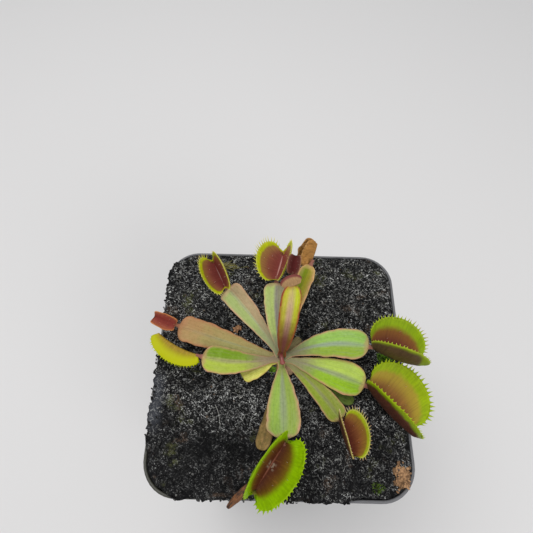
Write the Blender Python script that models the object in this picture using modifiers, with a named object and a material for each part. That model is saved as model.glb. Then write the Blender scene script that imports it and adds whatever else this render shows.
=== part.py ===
"""A potted venus flytrap: a deep square nursery pot, its peat, and the plant's crown and leaves.

The origin is the middle of the pot's underside, +Z is up and the near side of the pot faces -Y.
"""

import math

import bmesh
import bpy
import numpy as np
from mathutils import Vector

MM = 0.001
GAP = 0.3 * MM  # clearance between pieces that touch

# The pot: a tapered box with a straight, wider collar around its mouth.
RIM_SIDE = 90 * MM
POT_HEIGHT = 120 * MM
COLLAR_HEIGHT = 12 * MM
COLLAR_STEP = 1.8 * MM
TAPER = 0.078  # how far each wall leans in, per unit of depth
WALL = 1.1 * MM
FLOOR = 1.4 * MM
RIM_CORNER = 11.9 * MM
BODY_CORNER = 10.5 * MM
HOLE_RADIUS = 4.5 * MM
HOLE_REACH = 22 * MM  # from the middle of the floor, along X and along Y

# The peat: filled to the brim, with a lip of crumbs on the rim at the left and near sides.
PEAT_TOP = POT_HEIGHT + 0.9 * MM
PEAT_LIP_SIDE = 88.2 * MM
PEAT_LIP_SHIFT = -0.7 * MM  # the lip lies towards -X and -Y
PEAT_BUMPS = 0.2 * MM
PEAT_CORNER = 0.28  # corner radius, as a share of half the side
PEAT_COLUMNS = 14

# The crown, where every leaf starts: the head of the rhizome.
CROWN = np.array([0.4, 1.0, 121.5]) * MM
CROWN_RADIUS = 3.8 * MM
LEAF_BASE_WIDTH = 1.2 * MM
LEAF_THICKNESS = 0.8 * MM
BLADE_COLUMNS = 8
LEAF_CHANNEL = math.radians(12)  # how far the two halves of a leaf blade tilt up
STALK_WIDTH = 1.8 * MM  # the neck between a blade and its trap
STALK_LENGTH = 1.6 * MM
STALK_OVERLAP = 0.8 * MM

# A trap's lobes.
TRAP_THICKNESS = 0.3 * MM  # of a lobe with no reach; a lobe is thicker by a share of its reach
TRAP_THICKENING = 0.03
TRAP_ENDS = 0.30  # a lobe's reach at the ends of its midrib, as a share of its full reach
TRAP_ARCH = 0.05  # sag of the midrib, as a share of its length
TOOTH_LENGTH = 1.6 * MM
TEETH = 7  # on each lobe
LOBE_ROWS = 3  # rows of faces from the midrib to the tips of the teeth
MARGIN_ROW = 2 / 3  # where the margin lies on the lobe's grid; the teeth are the last row

# Each blade: heading and its change to the tip, pitch at base and tip (degrees), length and width (mm),
# where it is widest and how square its shoulders are, how slowly it widens, roll at the tip (degrees).
BLADE_WORDS = ("heading", "bend", "pitch", "tip_pitch", "length", "width", "widest", "shoulder", "grow", "roll")
BLADES = {
    "leaf_back_left": (131, 7, 32, 22, 28.0, 7.5, 0.92, 3.3, 1.4, -2),
    "leaf_back": (101, -14, 33, 23, 24.5, 8.6, 0.85, 3.3, 0.75, 0),
    "leaf_young": (78, 8, 63, 41, 26.5, 7.5, 0.78, 2.6, 0.7, 18),
    "leaf_small_trap": (82, 0, 47, 36, 27.5, 4.5, 0.78, 2.4, 1.0, 0),
    "leaf_dry_trap": (81, -15, 16, 30, 32.0, 6.0, 0.83, 2.7, 1.0, 5),
    "leaf_right": (18, -33, 26, 11, 28.5, 10.8, 0.79, 2.5, 1.05, 6),
    "leaf_right_large": (-18, -6, 17, 6, 27.5, 11.6, 0.80, 2.4, 1.2, 8),
    "leaf_front_right": (-40, -18, 12, 6, 25.5, 7.2, 0.88, 2.6, 1.35, 3),
    "leaf_front": (-87, -2, 20, 8, 25.0, 10.9, 0.80, 2.5, 0.65, 3),
    "leaf_left": (197, -27, 20, 12, 25.0, 9.7, 0.82, 2.4, 1.25, -6),
    "leaf_left_tan": (169, -5, 12, 10, 35.0, 9.8, 0.88, 2.6, 1.2, -6),
}

# Each open trap: heading and pitch of its midrib, roll of its mouth from up towards its left, angle
# between its lobes and its lean to the left (degrees), midrib length and lobe reach (mm), how much a
# lobe curls in and how far its veins fan out (degrees), and how full its outline is.
TRAP_WORDS = ("heading", "pitch", "roll", "open", "lean", "length", "reach", "curl", "fan", "full")
TRAPS = {
    "leaf_back_left": (118, 14, 17, 46, 0, 9.0, 10.5, 21, 71, 0.52),
    "leaf_back": (77, -8, 19, 73, 0, 11.0, 11.3, 21, 79, 0.57),
    "leaf_small_trap": (78, 28, 2, 45, 0, 7.0, 5.5, 20, 75, 0.60),
    "leaf_right": (-14, -11, 34, 74, 1, 15.0, 14.3, 19, 61, 0.60),
    "leaf_right_large": (-43, -14, 31, 85, 6, 18.2, 15.7, 19, 74, 0.63),
    "leaf_front_right": (-80, 19, 18, 49, -4, 10.2, 10.0, 21, 82, 0.60),
    "leaf_front": (-124, -5, 12, 61, -1, 16.0, 12.9, 22, 87, 0.54),
    "leaf_left": (154, 7, 99, 33, 4, 16.2, 6.7, 20, 76, 0.55),
    "leaf_left_tan": (163, 14, 17, 42, 2, 8.0, 6.7, 20, 74, 0.55),
}

# Closed traps are pods: half-sizes along, across and through (mm), heading and pitch of the long axis
# (degrees), and how far the pod's middle lies beyond the blade's tip (mm).
PODS = {
    "leaf_young": ((3.4, 2.0, 1.5), (8, 4), (-0.4, 0.6, 0.9)),
    "leaf_dry_trap": ((4.6, 2.4, 1.5), (66, 32), (1.8, 4.4, 1.6)),
}

# Old leaves and stubs lie low around the crown, in the same words as the blades.
OLD_LEAVES = {
    "old_leaf_1": (206, 6, 6, 2, 9.5, 6.5, 0.70, 2.2, 0.8, 6),
    "old_leaf_2": (-97, -12, 6, 1, 27.0, 5.0, 0.85, 2.6, 1.6, -4),
    "leaf_stub_1": (45, 0, 20, 6, 6.0, 3.2, 0.70, 2.4, 0.8, 0),
    "leaf_stub_2": (-60, 0, 12, 4, 3.2, 1.9, 0.70, 2.4, 0.8, 0),
}

# Loose blades that lie on the peat, with their start as X, Y, Z (mm) before the same words.
LOOSE_LEAVES = {
    "old_leaf_3": ((14.0, -9.4, 121.9), (-22, 0, 4, 4, 12.5, 4.6, 0.70, 2.4, 0.8, 0)),
    "dry_scrap": ((-9.6, -41.0, 121.9), (-142, 10, 3, 12, 9.0, 2.6, 0.40, 2.0, 0.8, 10)),
}

# Roots: heading (degrees), reach from the crown's axis and depth they go down to (mm).
ROOTS = ((20, 16, 62), (95, 20, 48), (170, 15, 70), (240, 18, 55), (310, 13, 78))
ROOT_RADIUS = 0.6 * MM
ROOT_STEPS = 6

# Lumps lying on the peat: middle X, Y and half-sizes (mm), turn (degrees).
LUMPS = {
    "moss_1": ((-2.8, -3.2), (1.0, 1.0, 0.6), 0),
    "moss_2": ((38.0, 1.5), (2.4, 1.8, 0.5), 20),
    "moss_3": ((31.6, -40.6), (1.6, 1.3, 0.5), 0),
    "bark_chip_1": ((39.8, -37.2), (3.6, 1.9, 0.6), 68),
    "bark_chip_2": ((-16.3, 11.9), (1.9, 1.4, 0.6), 20),
}


def clear_scene():
    for old in list(bpy.data.objects):
        bpy.data.objects.remove(old, do_unlink=True)


def collection(name):
    new = bpy.data.collections.new(name)
    bpy.context.scene.collection.children.link(new)
    return new


def finish(name, colour, roughness):
    """A plain material of one colour."""
    material = bpy.data.materials.new(name)
    material.use_nodes = True
    shader = material.node_tree.nodes["Principled BSDF"]
    shader.inputs["Base Color"].default_value = (*colour, 1)
    shader.inputs["Roughness"].default_value = roughness
    shader.inputs["Metallic"].default_value = 0
    return material


def object_from(bm, name, group, material=None):
    """The mesh in bm as an object in group."""
    mesh = bpy.data.meshes.new(name)
    bm.to_mesh(mesh)
    bm.free()
    made = bpy.data.objects.new(name, mesh)
    group.objects.link(made)
    if material:
        mesh.materials.append(material)
        mesh.shade_smooth()
        mesh.set_sharp_from_angle(angle=math.radians(35))
    else:
        made.hide_render = True
        made.display_type = "WIRE"
    return made


def boolean(target, cutter, operation):
    modifier = target.modifiers.new(f"{operation} {cutter.name}", "BOOLEAN")
    modifier.object = cutter
    modifier.operation = operation
    modifier.solver = "EXACT"


def solidify(target, thickness):
    modifier = target.modifiers.new("thickness", "SOLIDIFY")
    modifier.thickness = thickness
    modifier.offset = 0


def tapered_box(name, group, low_side, high_side, low, high, corner, material=None):
    """A box whose square section grows from low_side to high_side, with round upright corners."""
    bm = bmesh.new()
    bmesh.ops.create_cube(bm, size=1)
    for vert in bm.verts:
        side, height = (high_side, high) if vert.co.z > 0 else (low_side, low)
        vert.co = (vert.co.x * side, vert.co.y * side, height)
    upright = [e for e in bm.edges if abs(e.verts[0].co.z - e.verts[1].co.z) > 0.5 * (high - low)]
    bmesh.ops.bevel(bm, geom=upright, offset=corner, segments=5, profile=0.5, affect="EDGES")
    return object_from(bm, name, group, material)


def body_side(height, inset=0.0):
    """The side of the pot's tapered body at a height, less an inset on each face."""
    depth = POT_HEIGHT - COLLAR_HEIGHT - height
    return RIM_SIDE - 2 * COLLAR_STEP - 2 * TAPER * depth - 2 * inset


def make_pot(parts, cutters, material):
    """The tapered body joined to its collar, hollowed out in two steps, with holes in its floor."""
    ledge = POT_HEIGHT - COLLAR_HEIGHT
    over = 5 * MM  # how far cutters and joined shapes run past the face that they meet
    pot = tapered_box("pot", parts, body_side(0), body_side(ledge + over), 0, ledge + over,
                      BODY_CORNER, material)
    collar = tapered_box("collar_shape", cutters, RIM_SIDE, RIM_SIDE, ledge, POT_HEIGHT, RIM_CORNER)
    mouth_side = RIM_SIDE - 2 * WALL
    mouth = tapered_box("mouth_cutter", cutters, mouth_side, mouth_side, ledge + WALL,
                        POT_HEIGHT + over, RIM_CORNER - WALL)
    hollow = tapered_box("hollow_cutter", cutters, body_side(FLOOR, WALL), body_side(ledge + over, WALL),
                         FLOOR, ledge + over, BODY_CORNER - WALL)
    boolean(pot, collar, "UNION")
    boolean(pot, mouth, "DIFFERENCE")
    boolean(pot, hollow, "DIFFERENCE")
    places = [(x, y) for x in (-1, 0, 1) for y in (-1, 0, 1) if (x, y) != (0, 0)]
    for number, (x, y) in enumerate(places):
        bm = bmesh.new()
        bmesh.ops.create_cone(bm, cap_ends=True, segments=16, radius1=HOLE_RADIUS, radius2=HOLE_RADIUS,
                              depth=2 * over)
        bmesh.ops.translate(bm, verts=bm.verts, vec=(x * HOLE_REACH, y * HOLE_REACH, 0))
        boolean(pot, object_from(bm, f"hole_cutter_{number}", cutters), "DIFFERENCE")
    return pot


def squircle_reach(x, y, corner):
    """How far out a rounded square of half-side 1 reaches in the direction of x, y, against a plain square."""
    big = np.maximum(np.abs(x), np.abs(y)) + 1e-12
    a, b = np.abs(x) / big, np.abs(y) / big  # the point where the direction meets the plain square
    inner = 1 - corner
    small = np.minimum(a, b)
    # Past the start of the round corner, the ray meets the arc about (inner, inner).
    dot = inner * (1 + small)
    square = 1 + small**2
    root = np.sqrt(np.maximum(dot**2 - square * (2 * inner**2 - corner**2), 0))
    return np.where(small > inner, (dot + root) / square, 1.0)


def peat_height(x, y):
    """The height of the peat's top: low bumps, level around the crown and at its edge."""
    away = np.hypot(x - CROWN[0], y - CROWN[1])
    calm = np.clip(away / (9 * MM), 0, 1) ** 2
    bumps = np.sin(x / (3.1 * MM)) * np.cos(y / (3.7 * MM)) + 0.5 * np.sin((x - 1.4 * y) / (2.3 * MM))
    return PEAT_TOP + PEAT_BUMPS * calm * bumps / 1.5


def make_peat(parts, material):
    """A bumpy top, a lip that overhangs the rim, then the inside of the pot in steps, down to its floor."""
    bm = bmesh.new()
    bmesh.ops.create_grid(bm, x_segments=PEAT_COLUMNS, y_segments=PEAT_COLUMNS, size=1)
    flat = np.array([v.co[:2] for v in bm.verts])
    share = squircle_reach(flat[:, 0], flat[:, 1], PEAT_CORNER)
    rim = np.abs(flat).max(axis=1) > 0.999
    x = flat[:, 0] * share * PEAT_LIP_SIDE / 2 + PEAT_LIP_SHIFT
    y = flat[:, 1] * share * PEAT_LIP_SIDE / 2 + PEAT_LIP_SHIFT
    z = np.where(rim, PEAT_TOP, peat_height(x, y))
    for vert, place in zip(bm.verts, np.stack([x, y, z], axis=1)):
        vert.co = place
    ledge = POT_HEIGHT - COLLAR_HEIGHT + WALL
    mouth_side = RIM_SIDE - 2 * WALL - 2 * GAP
    rings = (
        (POT_HEIGHT + GAP, PEAT_LIP_SIDE, PEAT_LIP_SHIFT),
        (POT_HEIGHT + GAP, mouth_side, 0),
        (ledge + GAP, mouth_side, 0),
        (ledge + GAP, body_side(ledge, WALL + GAP), 0),
        (FLOOR + GAP, body_side(FLOOR, WALL + GAP), 0),
    )
    edges = [e for e in bm.edges if e.is_boundary]
    side, shift = PEAT_LIP_SIDE, PEAT_LIP_SHIFT
    for height, new_side, new_shift in rings:
        new = bmesh.ops.extrude_edge_only(bm, edges=edges)["geom"]
        for vert in (v for v in new if isinstance(v, bmesh.types.BMVert)):
            middle = Vector((shift, shift, 0))
            spread = (vert.co - middle) * (new_side / side)
            vert.co = (spread.x + new_shift, spread.y + new_shift, height)
        edges = [e for e in new if isinstance(e, bmesh.types.BMEdge)]
        side, shift = new_side, new_shift
    bmesh.ops.contextual_create(bm, geom=edges)
    bmesh.ops.triangulate(bm, faces=[f for f in bm.faces if len(f.verts) > 4])
    bmesh.ops.recalc_face_normals(bm, faces=bm.faces)
    return object_from(bm, "soil", parts, material)


def ball(name, group, middle, radii, material=None, segments=12, rings=8):
    """An ellipsoid on a place."""
    bm = bmesh.new()
    bmesh.ops.create_uvsphere(bm, u_segments=segments, v_segments=rings, radius=1)
    bmesh.ops.scale(bm, vec=radii, verts=bm.verts)
    bmesh.ops.translate(bm, vec=middle, verts=bm.verts)
    return object_from(bm, name, group, material)


def tube(name, group, points, radius, material=None):
    """A round rod along points, as a closed mesh."""
    curve = bpy.data.curves.new(name, "CURVE")
    curve.dimensions = "3D"
    curve.bevel_depth = radius
    curve.bevel_resolution = 1
    curve.use_fill_caps = True
    spline = curve.splines.new("POLY")
    spline.points.add(len(points) - 1)
    for point, place in zip(spline.points, points):
        point.co = (*place, 1)
    rod = bpy.data.objects.new(f"{name}_curve", curve)
    group.objects.link(rod)
    mesh = bpy.data.meshes.new_from_object(rod.evaluated_get(bpy.context.evaluated_depsgraph_get()))
    bm = bmesh.new()
    bm.from_mesh(mesh)
    bmesh.ops.remove_doubles(bm, verts=bm.verts, dist=0.01 * MM)
    bmesh.ops.recalc_face_normals(bm, faces=bm.faces)
    bpy.data.objects.remove(rod, do_unlink=True)
    bpy.data.meshes.remove(mesh)
    return object_from(bm, name, group, material)


def root_points(heading, reach, depth):
    """A root leaves the crown's underside steeply, bends outwards and hangs down to its depth."""
    turn = math.radians(heading)
    points = []
    for step in range(ROOT_STEPS + 1):
        share = step / ROOT_STEPS
        out = reach * MM * math.sin(share * math.pi / 2) ** 1.5
        wave = 1.2 * MM * math.sin(share * 2 * math.pi)
        low = CROWN[2] - 2 * MM - (CROWN[2] - 2 * MM - depth * MM) * share
        points.append((CROWN[0] + out * math.cos(turn) - wave * math.sin(turn),
                       CROWN[1] + out * math.sin(turn) + wave * math.cos(turn), low))
    return points


def make_rhizome(parts, cutters, soil, material):
    """The bulb-like stem with its roots, and the pocket and channels that it fills in the peat."""
    head = [CROWN_RADIUS] * 3
    rhizome = ball("rhizome", parts, CROWN, head, material)
    boolean(soil, ball("crown_pocket", cutters, CROWN, [r + GAP for r in head]), "DIFFERENCE")
    for number, root in enumerate(ROOTS):
        points = root_points(*root)
        boolean(rhizome, tube(f"root_shape_{number}", cutters, points, ROOT_RADIUS), "UNION")
        further = [*points, (points[-1][0], points[-1][1], points[-1][2] - GAP)]
        boolean(soil, tube(f"root_channel_{number}", cutters, further, ROOT_RADIUS + GAP), "DIFFERENCE")


def direction(heading, pitch):
    """Unit vectors for headings and pitches in radians, in rows."""
    level = np.cos(pitch)
    return np.stack([level * np.cos(heading), level * np.sin(heading), np.sin(pitch)], axis=-1)


def named(words, values):
    """A row of a table as a dictionary, with lengths in metres and angles in radians."""
    row = dict(zip(words, values))
    for word in ("length", "width", "reach"):
        if word in row:
            row[word] *= MM
    for word in ("heading", "bend", "pitch", "tip_pitch", "roll", "open", "lean", "curl", "fan"):
        if word in row:
            row[word] = math.radians(row[word])
    return row


class Blade:
    """A leaf's flat stalk: a path whose heading and pitch change evenly, and a width along it."""

    def __init__(self, values, start=None):
        self.row = named(BLADE_WORDS, values)
        out = (CROWN_RADIUS + GAP + 0.05 * MM) * direction(self.row["heading"], self.row["pitch"])
        self.start = CROWN + out if start is None else np.array(start) * MM
        self.share = np.linspace(0, 1, 201)
        middles = (self.share[1:] + self.share[:-1]) / 2
        steps = self.way(middles) * self.row["length"] / len(middles)
        self.path = self.start + np.concatenate([np.zeros((1, 3)), np.cumsum(steps, axis=0)])

    def way(self, share):
        """The path's direction at a share of its length."""
        row = self.row
        share = np.clip(share, 0, 1)
        return direction(row["heading"] + row["bend"] * share,
                         row["pitch"] + (row["tip_pitch"] - row["pitch"]) * share)

    def at(self, along):
        """The path at a distance along it, straight on past its end."""
        length = self.row["length"]
        share = np.clip(along / length, 0, 1)
        place = np.stack([np.interp(share, self.share, axis) for axis in self.path.T], axis=-1)
        return place + np.maximum(along - length, 0)[..., None] * self.way(share)

    def half_width(self, share):
        """Narrow at the base, widening as a power of a sine, then rounded off to the neck."""
        row = self.row
        base = LEAF_BASE_WIDTH / row["width"]
        rise = np.sin(np.pi / 2 * np.clip(share / row["widest"], 0, 1)) ** row["grow"]
        past = np.clip((share - row["widest"]) / (1 - row["widest"]), 0, 1)
        fall = (1 - past ** row["shoulder"]) ** (1 / row["shoulder"])
        half = row["width"] / 2 * np.where(share < row["widest"], base + (1 - base) * rise, fall)
        return np.where(share < row["widest"], half, np.maximum(half, STALK_WIDTH / 2))

    def points(self, along, across):
        """Places on the blade: across runs from -1 to 1, and both halves tilt up from the midrib."""
        share = np.clip(along / self.row["length"], 0, 1)
        ahead = self.way(share)
        heading = np.arctan2(ahead[:, 1], ahead[:, 0])
        level = np.stack([-np.sin(heading), np.cos(heading), 0 * heading], axis=-1)
        roll = (self.row["roll"] * share)[:, None]
        side = np.cos(roll) * level + np.sin(roll) * np.cross(ahead, level)
        up = np.cross(ahead, side)
        tilt = (np.sqrt(across**2 + 0.04) - 0.2) * math.sin(LEAF_CHANNEL)
        sheet = (across * math.cos(LEAF_CHANNEL))[:, None] * side + tilt[:, None] * up
        return self.at(along) + self.half_width(share)[:, None] * sheet


def trap_points(trap, root, along, across):
    """Places on a trap, whose midrib starts at root.

    across runs from 0 at the midrib to 1 at the margin, positive on the left lobe. Each lobe is an arc
    that starts wide open and curls in, carried outwards along lines that fan out from the midrib.
    """
    ahead = direction(trap["heading"], trap["pitch"])
    level = np.array([-math.sin(trap["heading"]), math.cos(trap["heading"]), 0])
    mouth = math.cos(trap["roll"]) * np.cross(ahead, level) + math.sin(trap["roll"]) * level
    left = np.cross(mouth, ahead)
    lobe = np.where(across < 0, -1.0, 1.0)
    out = np.abs(across)
    first = trap["open"] / 2 + lobe * trap["lean"] + trap["curl"]
    last = first - 2 * trap["curl"] * out
    towards_mouth = (np.sin(first) - np.sin(last)) / (2 * trap["curl"])
    sideways = lobe * (np.cos(last) - np.cos(first)) / (2 * trap["curl"])
    fan = trap["fan"] * (along - 0.5)
    reach = lobe_reach(trap, along)
    sag = TRAP_ARCH * trap["length"] * 4 * along * (1 - along)
    spine = root + (along * trap["length"])[:, None] * ahead - sag[:, None] * mouth
    section = towards_mouth[:, None] * mouth + sideways[:, None] * left
    lobes = np.cos(fan)[:, None] * section + (np.sin(fan) * out)[:, None] * ahead
    return spine + reach[:, None] * lobes


def lobe_reach(trap, along):
    """A lobe's reach from its midrib: a power of a sine on top of its reach at the ends."""
    bow = np.sin(np.pi * np.clip(along, 0, 1)) ** trap["full"]
    return trap["reach"] * (TRAP_ENDS + (1 - TRAP_ENDS) * bow)


def sheet_from(name, group, columns, rows, place, material=None):
    """A grid of faces whose corners are placed by a function of columns 0 to 1 and rows -1 to 1."""
    bm = bmesh.new()
    bmesh.ops.create_grid(bm, x_segments=columns, y_segments=rows, size=1)
    flat = np.array([v.co[:2] for v in bm.verts])
    for vert, point in zip(bm.verts, place((flat[:, 0] + 1) / 2, flat[:, 1])):
        vert.co = point
    return object_from(bm, name, group, material)


def make_blade(name, group, blade, neck, material):
    """A blade as a thin solid, with neck metres of stalk past its tip."""
    whole = blade.row["length"] + neck
    made = sheet_from(name, group, BLADE_COLUMNS, 4, lambda a, b: blade.points(a * whole, b), material)
    solidify(made, LEAF_THICKNESS)
    return made


def make_trap(name, group, trap, root):
    """Both lobes as one folded sheet with a toothed margin."""

    def place(along, row):
        out = np.abs(row) / MARGIN_ROW
        column = np.round(along * 2 * TEETH)
        tooth = np.where(column % 2 == 1, TOOTH_LENGTH, 0.15 * TOOTH_LENGTH)
        out = np.where(out > 1.001, 1 + tooth / lobe_reach(trap, along), out)
        return trap_points(trap, root, along, np.copysign(out, row))

    made = sheet_from(name, group, 2 * TEETH, 2 * LOBE_ROWS, place)
    solidify(made, TRAP_THICKNESS + TRAP_THICKENING * trap["reach"])
    return made


def make_pod(name, group, radii, turn, middle):
    """A closed trap: a flat ellipsoid along a heading and a pitch."""
    bm = bmesh.new()
    bmesh.ops.create_uvsphere(bm, u_segments=10, v_segments=6, radius=1)
    heading, pitch = (math.radians(angle) for angle in turn)
    ahead = direction(heading, pitch)
    side = np.array([-math.sin(heading), math.cos(heading), 0])
    up = np.cross(ahead, side)
    for vert in bm.verts:
        vert.co = middle + sum(co * r * MM * axis for co, r, axis in zip(vert.co, radii, (ahead, side, up)))
    return object_from(bm, name, group)


def make_leaves(parts, cutters, materials):
    """Every leaf: its blade, joined to its trap where it has one."""
    for name, values in BLADES.items():
        blade = Blade(values)
        leaf = make_blade(name, parts, blade, STALK_LENGTH + STALK_OVERLAP, materials["leaf"])
        tip = blade.at(np.array([blade.row["length"]]))[0]
        if name in TRAPS:
            root = tip + STALK_LENGTH * blade.way(np.array([1.0]))[0]
            trap = named(TRAP_WORDS, TRAPS[name])
            boolean(leaf, make_trap(f"{name}_trap_shape", cutters, trap, root), "UNION")
        else:
            radii, turn, beyond = PODS[name]
            middle = tip + np.array(beyond) * MM
            boolean(leaf, make_pod(f"{name}_pod_shape", cutters, radii, turn, middle), "UNION")
    for name, values in OLD_LEAVES.items():
        make_blade(name, parts, Blade(values), 0, materials["old leaf"])
    for name, (start, values) in LOOSE_LEAVES.items():
        make_blade(name, parts, Blade(values, start), 0, materials["old leaf"])


def make_new_leaf(parts, material):
    """The next leaf, a small red hook on top of the crown."""
    base = CROWN + np.array([0.1, -0.9, 1]) * (0, MM, CROWN_RADIUS + ROOT_RADIUS + GAP)
    points = []
    for step in range(9):
        turn = math.pi * step / 8
        hook = np.array([0.15 * step, 1.3 * math.cos(turn) - 0.4, 2.4 * math.sin(turn) ** 0.8])
        points.append(base + hook * MM)
    tube("new_leaf", parts, points, ROOT_RADIUS, material)


def make_lump(name, parts, middle, radii, turn, material):
    """A low lump with a flat underside, resting on the peat."""
    seat = PEAT_TOP + PEAT_BUMPS + GAP
    bm = bmesh.new()
    bmesh.ops.create_uvsphere(bm, u_segments=10, v_segments=6, radius=1)
    for vert in bm.verts:
        vert.co.z = max(vert.co.z, -0.35)
    bmesh.ops.remove_doubles(bm, verts=bm.verts, dist=1e-6)
    bmesh.ops.scale(bm, vec=[r * MM for r in radii], verts=bm.verts)
    angle = math.radians(turn)
    for vert in bm.verts:
        x, y = vert.co.x, vert.co.y
        vert.co.x = x * math.cos(angle) - y * math.sin(angle) + middle[0] * MM
        vert.co.y = x * math.sin(angle) + y * math.cos(angle) + middle[1] * MM
        vert.co.z += seat + 0.35 * radii[2] * MM
    object_from(bm, name, parts, material)


def main():
    clear_scene()
    parts = collection("potted venus flytrap")
    cutters = collection("cutters")
    materials = {
        "pot": finish("pot", (0.035, 0.035, 0.037), 0.4),
        "peat": finish("peat", (0.02, 0.017, 0.015), 0.9),
        "rhizome": finish("rhizome", (0.55, 0.42, 0.3), 0.6),
        "leaf": finish("leaf", (0.25, 0.42, 0.08), 0.4),
        "new leaf": finish("new leaf", (0.3, 0.05, 0.03), 0.4),
        "old leaf": finish("old leaf", (0.3, 0.2, 0.08), 0.6),
        "moss": finish("moss", (0.1, 0.25, 0.02), 0.8),
        "bark": finish("bark", (0.2, 0.1, 0.05), 0.8),
    }
    make_pot(parts, cutters, materials["pot"])
    soil = make_peat(parts, materials["peat"])
    make_rhizome(parts, cutters, soil, materials["rhizome"])
    make_leaves(parts, cutters, materials)
    make_new_leaf(parts, materials["new leaf"])
    for name, (middle, radii, turn) in LUMPS.items():
        make_lump(name, parts, middle, radii, turn, materials["moss" if "moss" in name else "bark"])


main()
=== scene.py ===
# %% [markdown]
# # A potted venus flytrap, finished for rendering
#
# The real object is a young carnivorous plant: a flat rosette of green leaves, each ending in a hinged,
# toothed trap, growing from one crown in black peat in a deep square nursery pot.
#
# A plant like this could be sculpted, scanned, or grown from curves and modifiers. Here every shape is a
# surface worked out with numpy: a function of two parameters, read on a grid and handed to a mesh. Each
# leaf then stays adjustable from a few measured angles and lengths, and the same few functions serve them
# all. The packed solids are the frame: they say where each piece goes and how big it is.

import math

import bmesh
import bpy
import numpy as np
from mathutils import Matrix, Vector


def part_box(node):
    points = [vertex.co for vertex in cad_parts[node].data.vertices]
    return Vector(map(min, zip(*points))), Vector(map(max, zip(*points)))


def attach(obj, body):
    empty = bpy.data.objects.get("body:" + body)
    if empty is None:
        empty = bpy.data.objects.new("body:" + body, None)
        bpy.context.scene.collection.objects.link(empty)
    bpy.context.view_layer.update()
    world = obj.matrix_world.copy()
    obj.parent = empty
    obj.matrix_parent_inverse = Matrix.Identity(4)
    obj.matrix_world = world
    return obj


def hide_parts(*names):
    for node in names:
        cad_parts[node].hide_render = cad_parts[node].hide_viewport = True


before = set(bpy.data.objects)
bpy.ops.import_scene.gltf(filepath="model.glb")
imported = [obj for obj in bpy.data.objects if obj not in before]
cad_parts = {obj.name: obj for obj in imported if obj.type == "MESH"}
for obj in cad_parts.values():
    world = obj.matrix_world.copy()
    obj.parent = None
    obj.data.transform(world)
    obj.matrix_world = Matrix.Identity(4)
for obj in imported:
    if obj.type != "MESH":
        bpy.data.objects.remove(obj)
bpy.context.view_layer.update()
MM = 0.001


# %% [markdown]
# ## Places, read off the frame
#
# The pot's box gives its height and the side of its rim. The rhizome's box ends at the top of the crown,
# from which all the leaves start. Everything else is placed from these two.

# %% Places
RIM_SIDE = float((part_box("pot")[1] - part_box("pot")[0]).x)
POT_HEIGHT = float(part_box("pot")[1].z)
CROWN_RADIUS = 3.8 * MM
CROWN = np.array([0.4 * MM, 1.0 * MM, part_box("rhizome")[1].z - CROWN_RADIUS])
PEAT_TOP = POT_HEIGHT + 0.9 * MM


def show(name, data):
    """An object at the origin for a mesh, lamp or camera, linked to the scene."""
    made = bpy.data.objects.new(name, data)
    bpy.context.scene.collection.objects.link(made)
    return made


def mesh_from(bm, name):
    """The mesh of a bmesh, which is freed."""
    mesh = bpy.data.meshes.new(name)
    bm.to_mesh(mesh)
    bm.free()
    return mesh


print("rim", round(RIM_SIDE / MM, 1), "height", round(POT_HEIGHT / MM, 1), "crown", (CROWN / MM).round(1))


# %% [markdown]
# ## Camera
#
# The pot is seen from above and in front, close up, so the far side looks smaller than the near side. A
# camera object can be aimed with a constraint or by angles. Here its axes are worked out from a tilt below
# the horizon and a small roll, and go into its matrix directly.

# %% Camera
CAMERA_PLACE = Vector((-5.76, -42.03, 275.79)) * MM
CAMERA_TILT = math.radians(62.42)
CAMERA_ROLL = math.radians(1.39)
CAMERA_LENS = 29.0  # mm, for a sensor 36 mm wide


def aim_camera():
    """A camera whose axes are right, up and back, each turned by the roll about the viewing direction."""
    ahead = Vector((0, math.cos(CAMERA_TILT), -math.sin(CAMERA_TILT)))
    level, steep = Vector((1, 0, 0)), Vector((0, math.sin(CAMERA_TILT), math.cos(CAMERA_TILT)))
    right = math.cos(CAMERA_ROLL) * level + math.sin(CAMERA_ROLL) * steep
    up = math.cos(CAMERA_ROLL) * steep - math.sin(CAMERA_ROLL) * level
    camera = show("camera", bpy.data.cameras.new("camera"))
    camera.data.lens = CAMERA_LENS
    camera.data.clip_start = 5 * MM
    turn = Matrix((right, up, -ahead)).transposed().to_4x4()
    camera.matrix_world = Matrix.Translation(CAMERA_PLACE) @ turn
    bpy.context.scene.camera = camera


aim_camera()
print("camera looks", round(math.degrees(CAMERA_TILT), 1), "degrees below the horizon")


# %% [markdown]
# ## Shader maths
#
# A material is a graph of nodes, and adding them one by one makes long scripts. A small class wraps an
# output socket and overloads the operators, so a mask is written as the formula that it is. Numbers go
# through Math nodes. Colours and vectors go through Mix and Vector Math nodes, because a Math node would
# turn a colour grey.

# %% Signals
class Signal:
    """A number or colour that flows through a material's nodes."""

    def __init__(self, paint, socket):
        self.paint, self.socket = paint, socket

    def math(self, operation, *others):
        """The result of a Math node on this number and any others."""
        return self.paint.node("ShaderNodeMath", {"operation": operation}, dict(enumerate([self, *others])))

    def __add__(self, other):
        return self.math("ADD", other)

    __radd__ = __add__

    def __mul__(self, other):
        return self.math("MULTIPLY", other)

    __rmul__ = __mul__

    def __sub__(self, other):
        return self.math("SUBTRACT", other)

    def __rsub__(self, other):
        return self.paint.node("ShaderNodeMath", {"operation": "SUBTRACT"}, {0: other, 1: self})

    def __abs__(self):
        return self.math("ABSOLUTE")

    def rise(self, low, high):
        """0 below low, 1 above high and an S-curve between them; low above high makes it fall."""
        if low > high:
            return 1 - self.rise(high, low)
        settings = {"interpolation_type": "SMOOTHSTEP"}
        return self.paint.node("ShaderNodeMapRange", settings, {0: self, 1: low, 2: high})


print("signals do", ", ".join(word for word in vars(Signal) if word.startswith("__r") or word == "math"))


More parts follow.
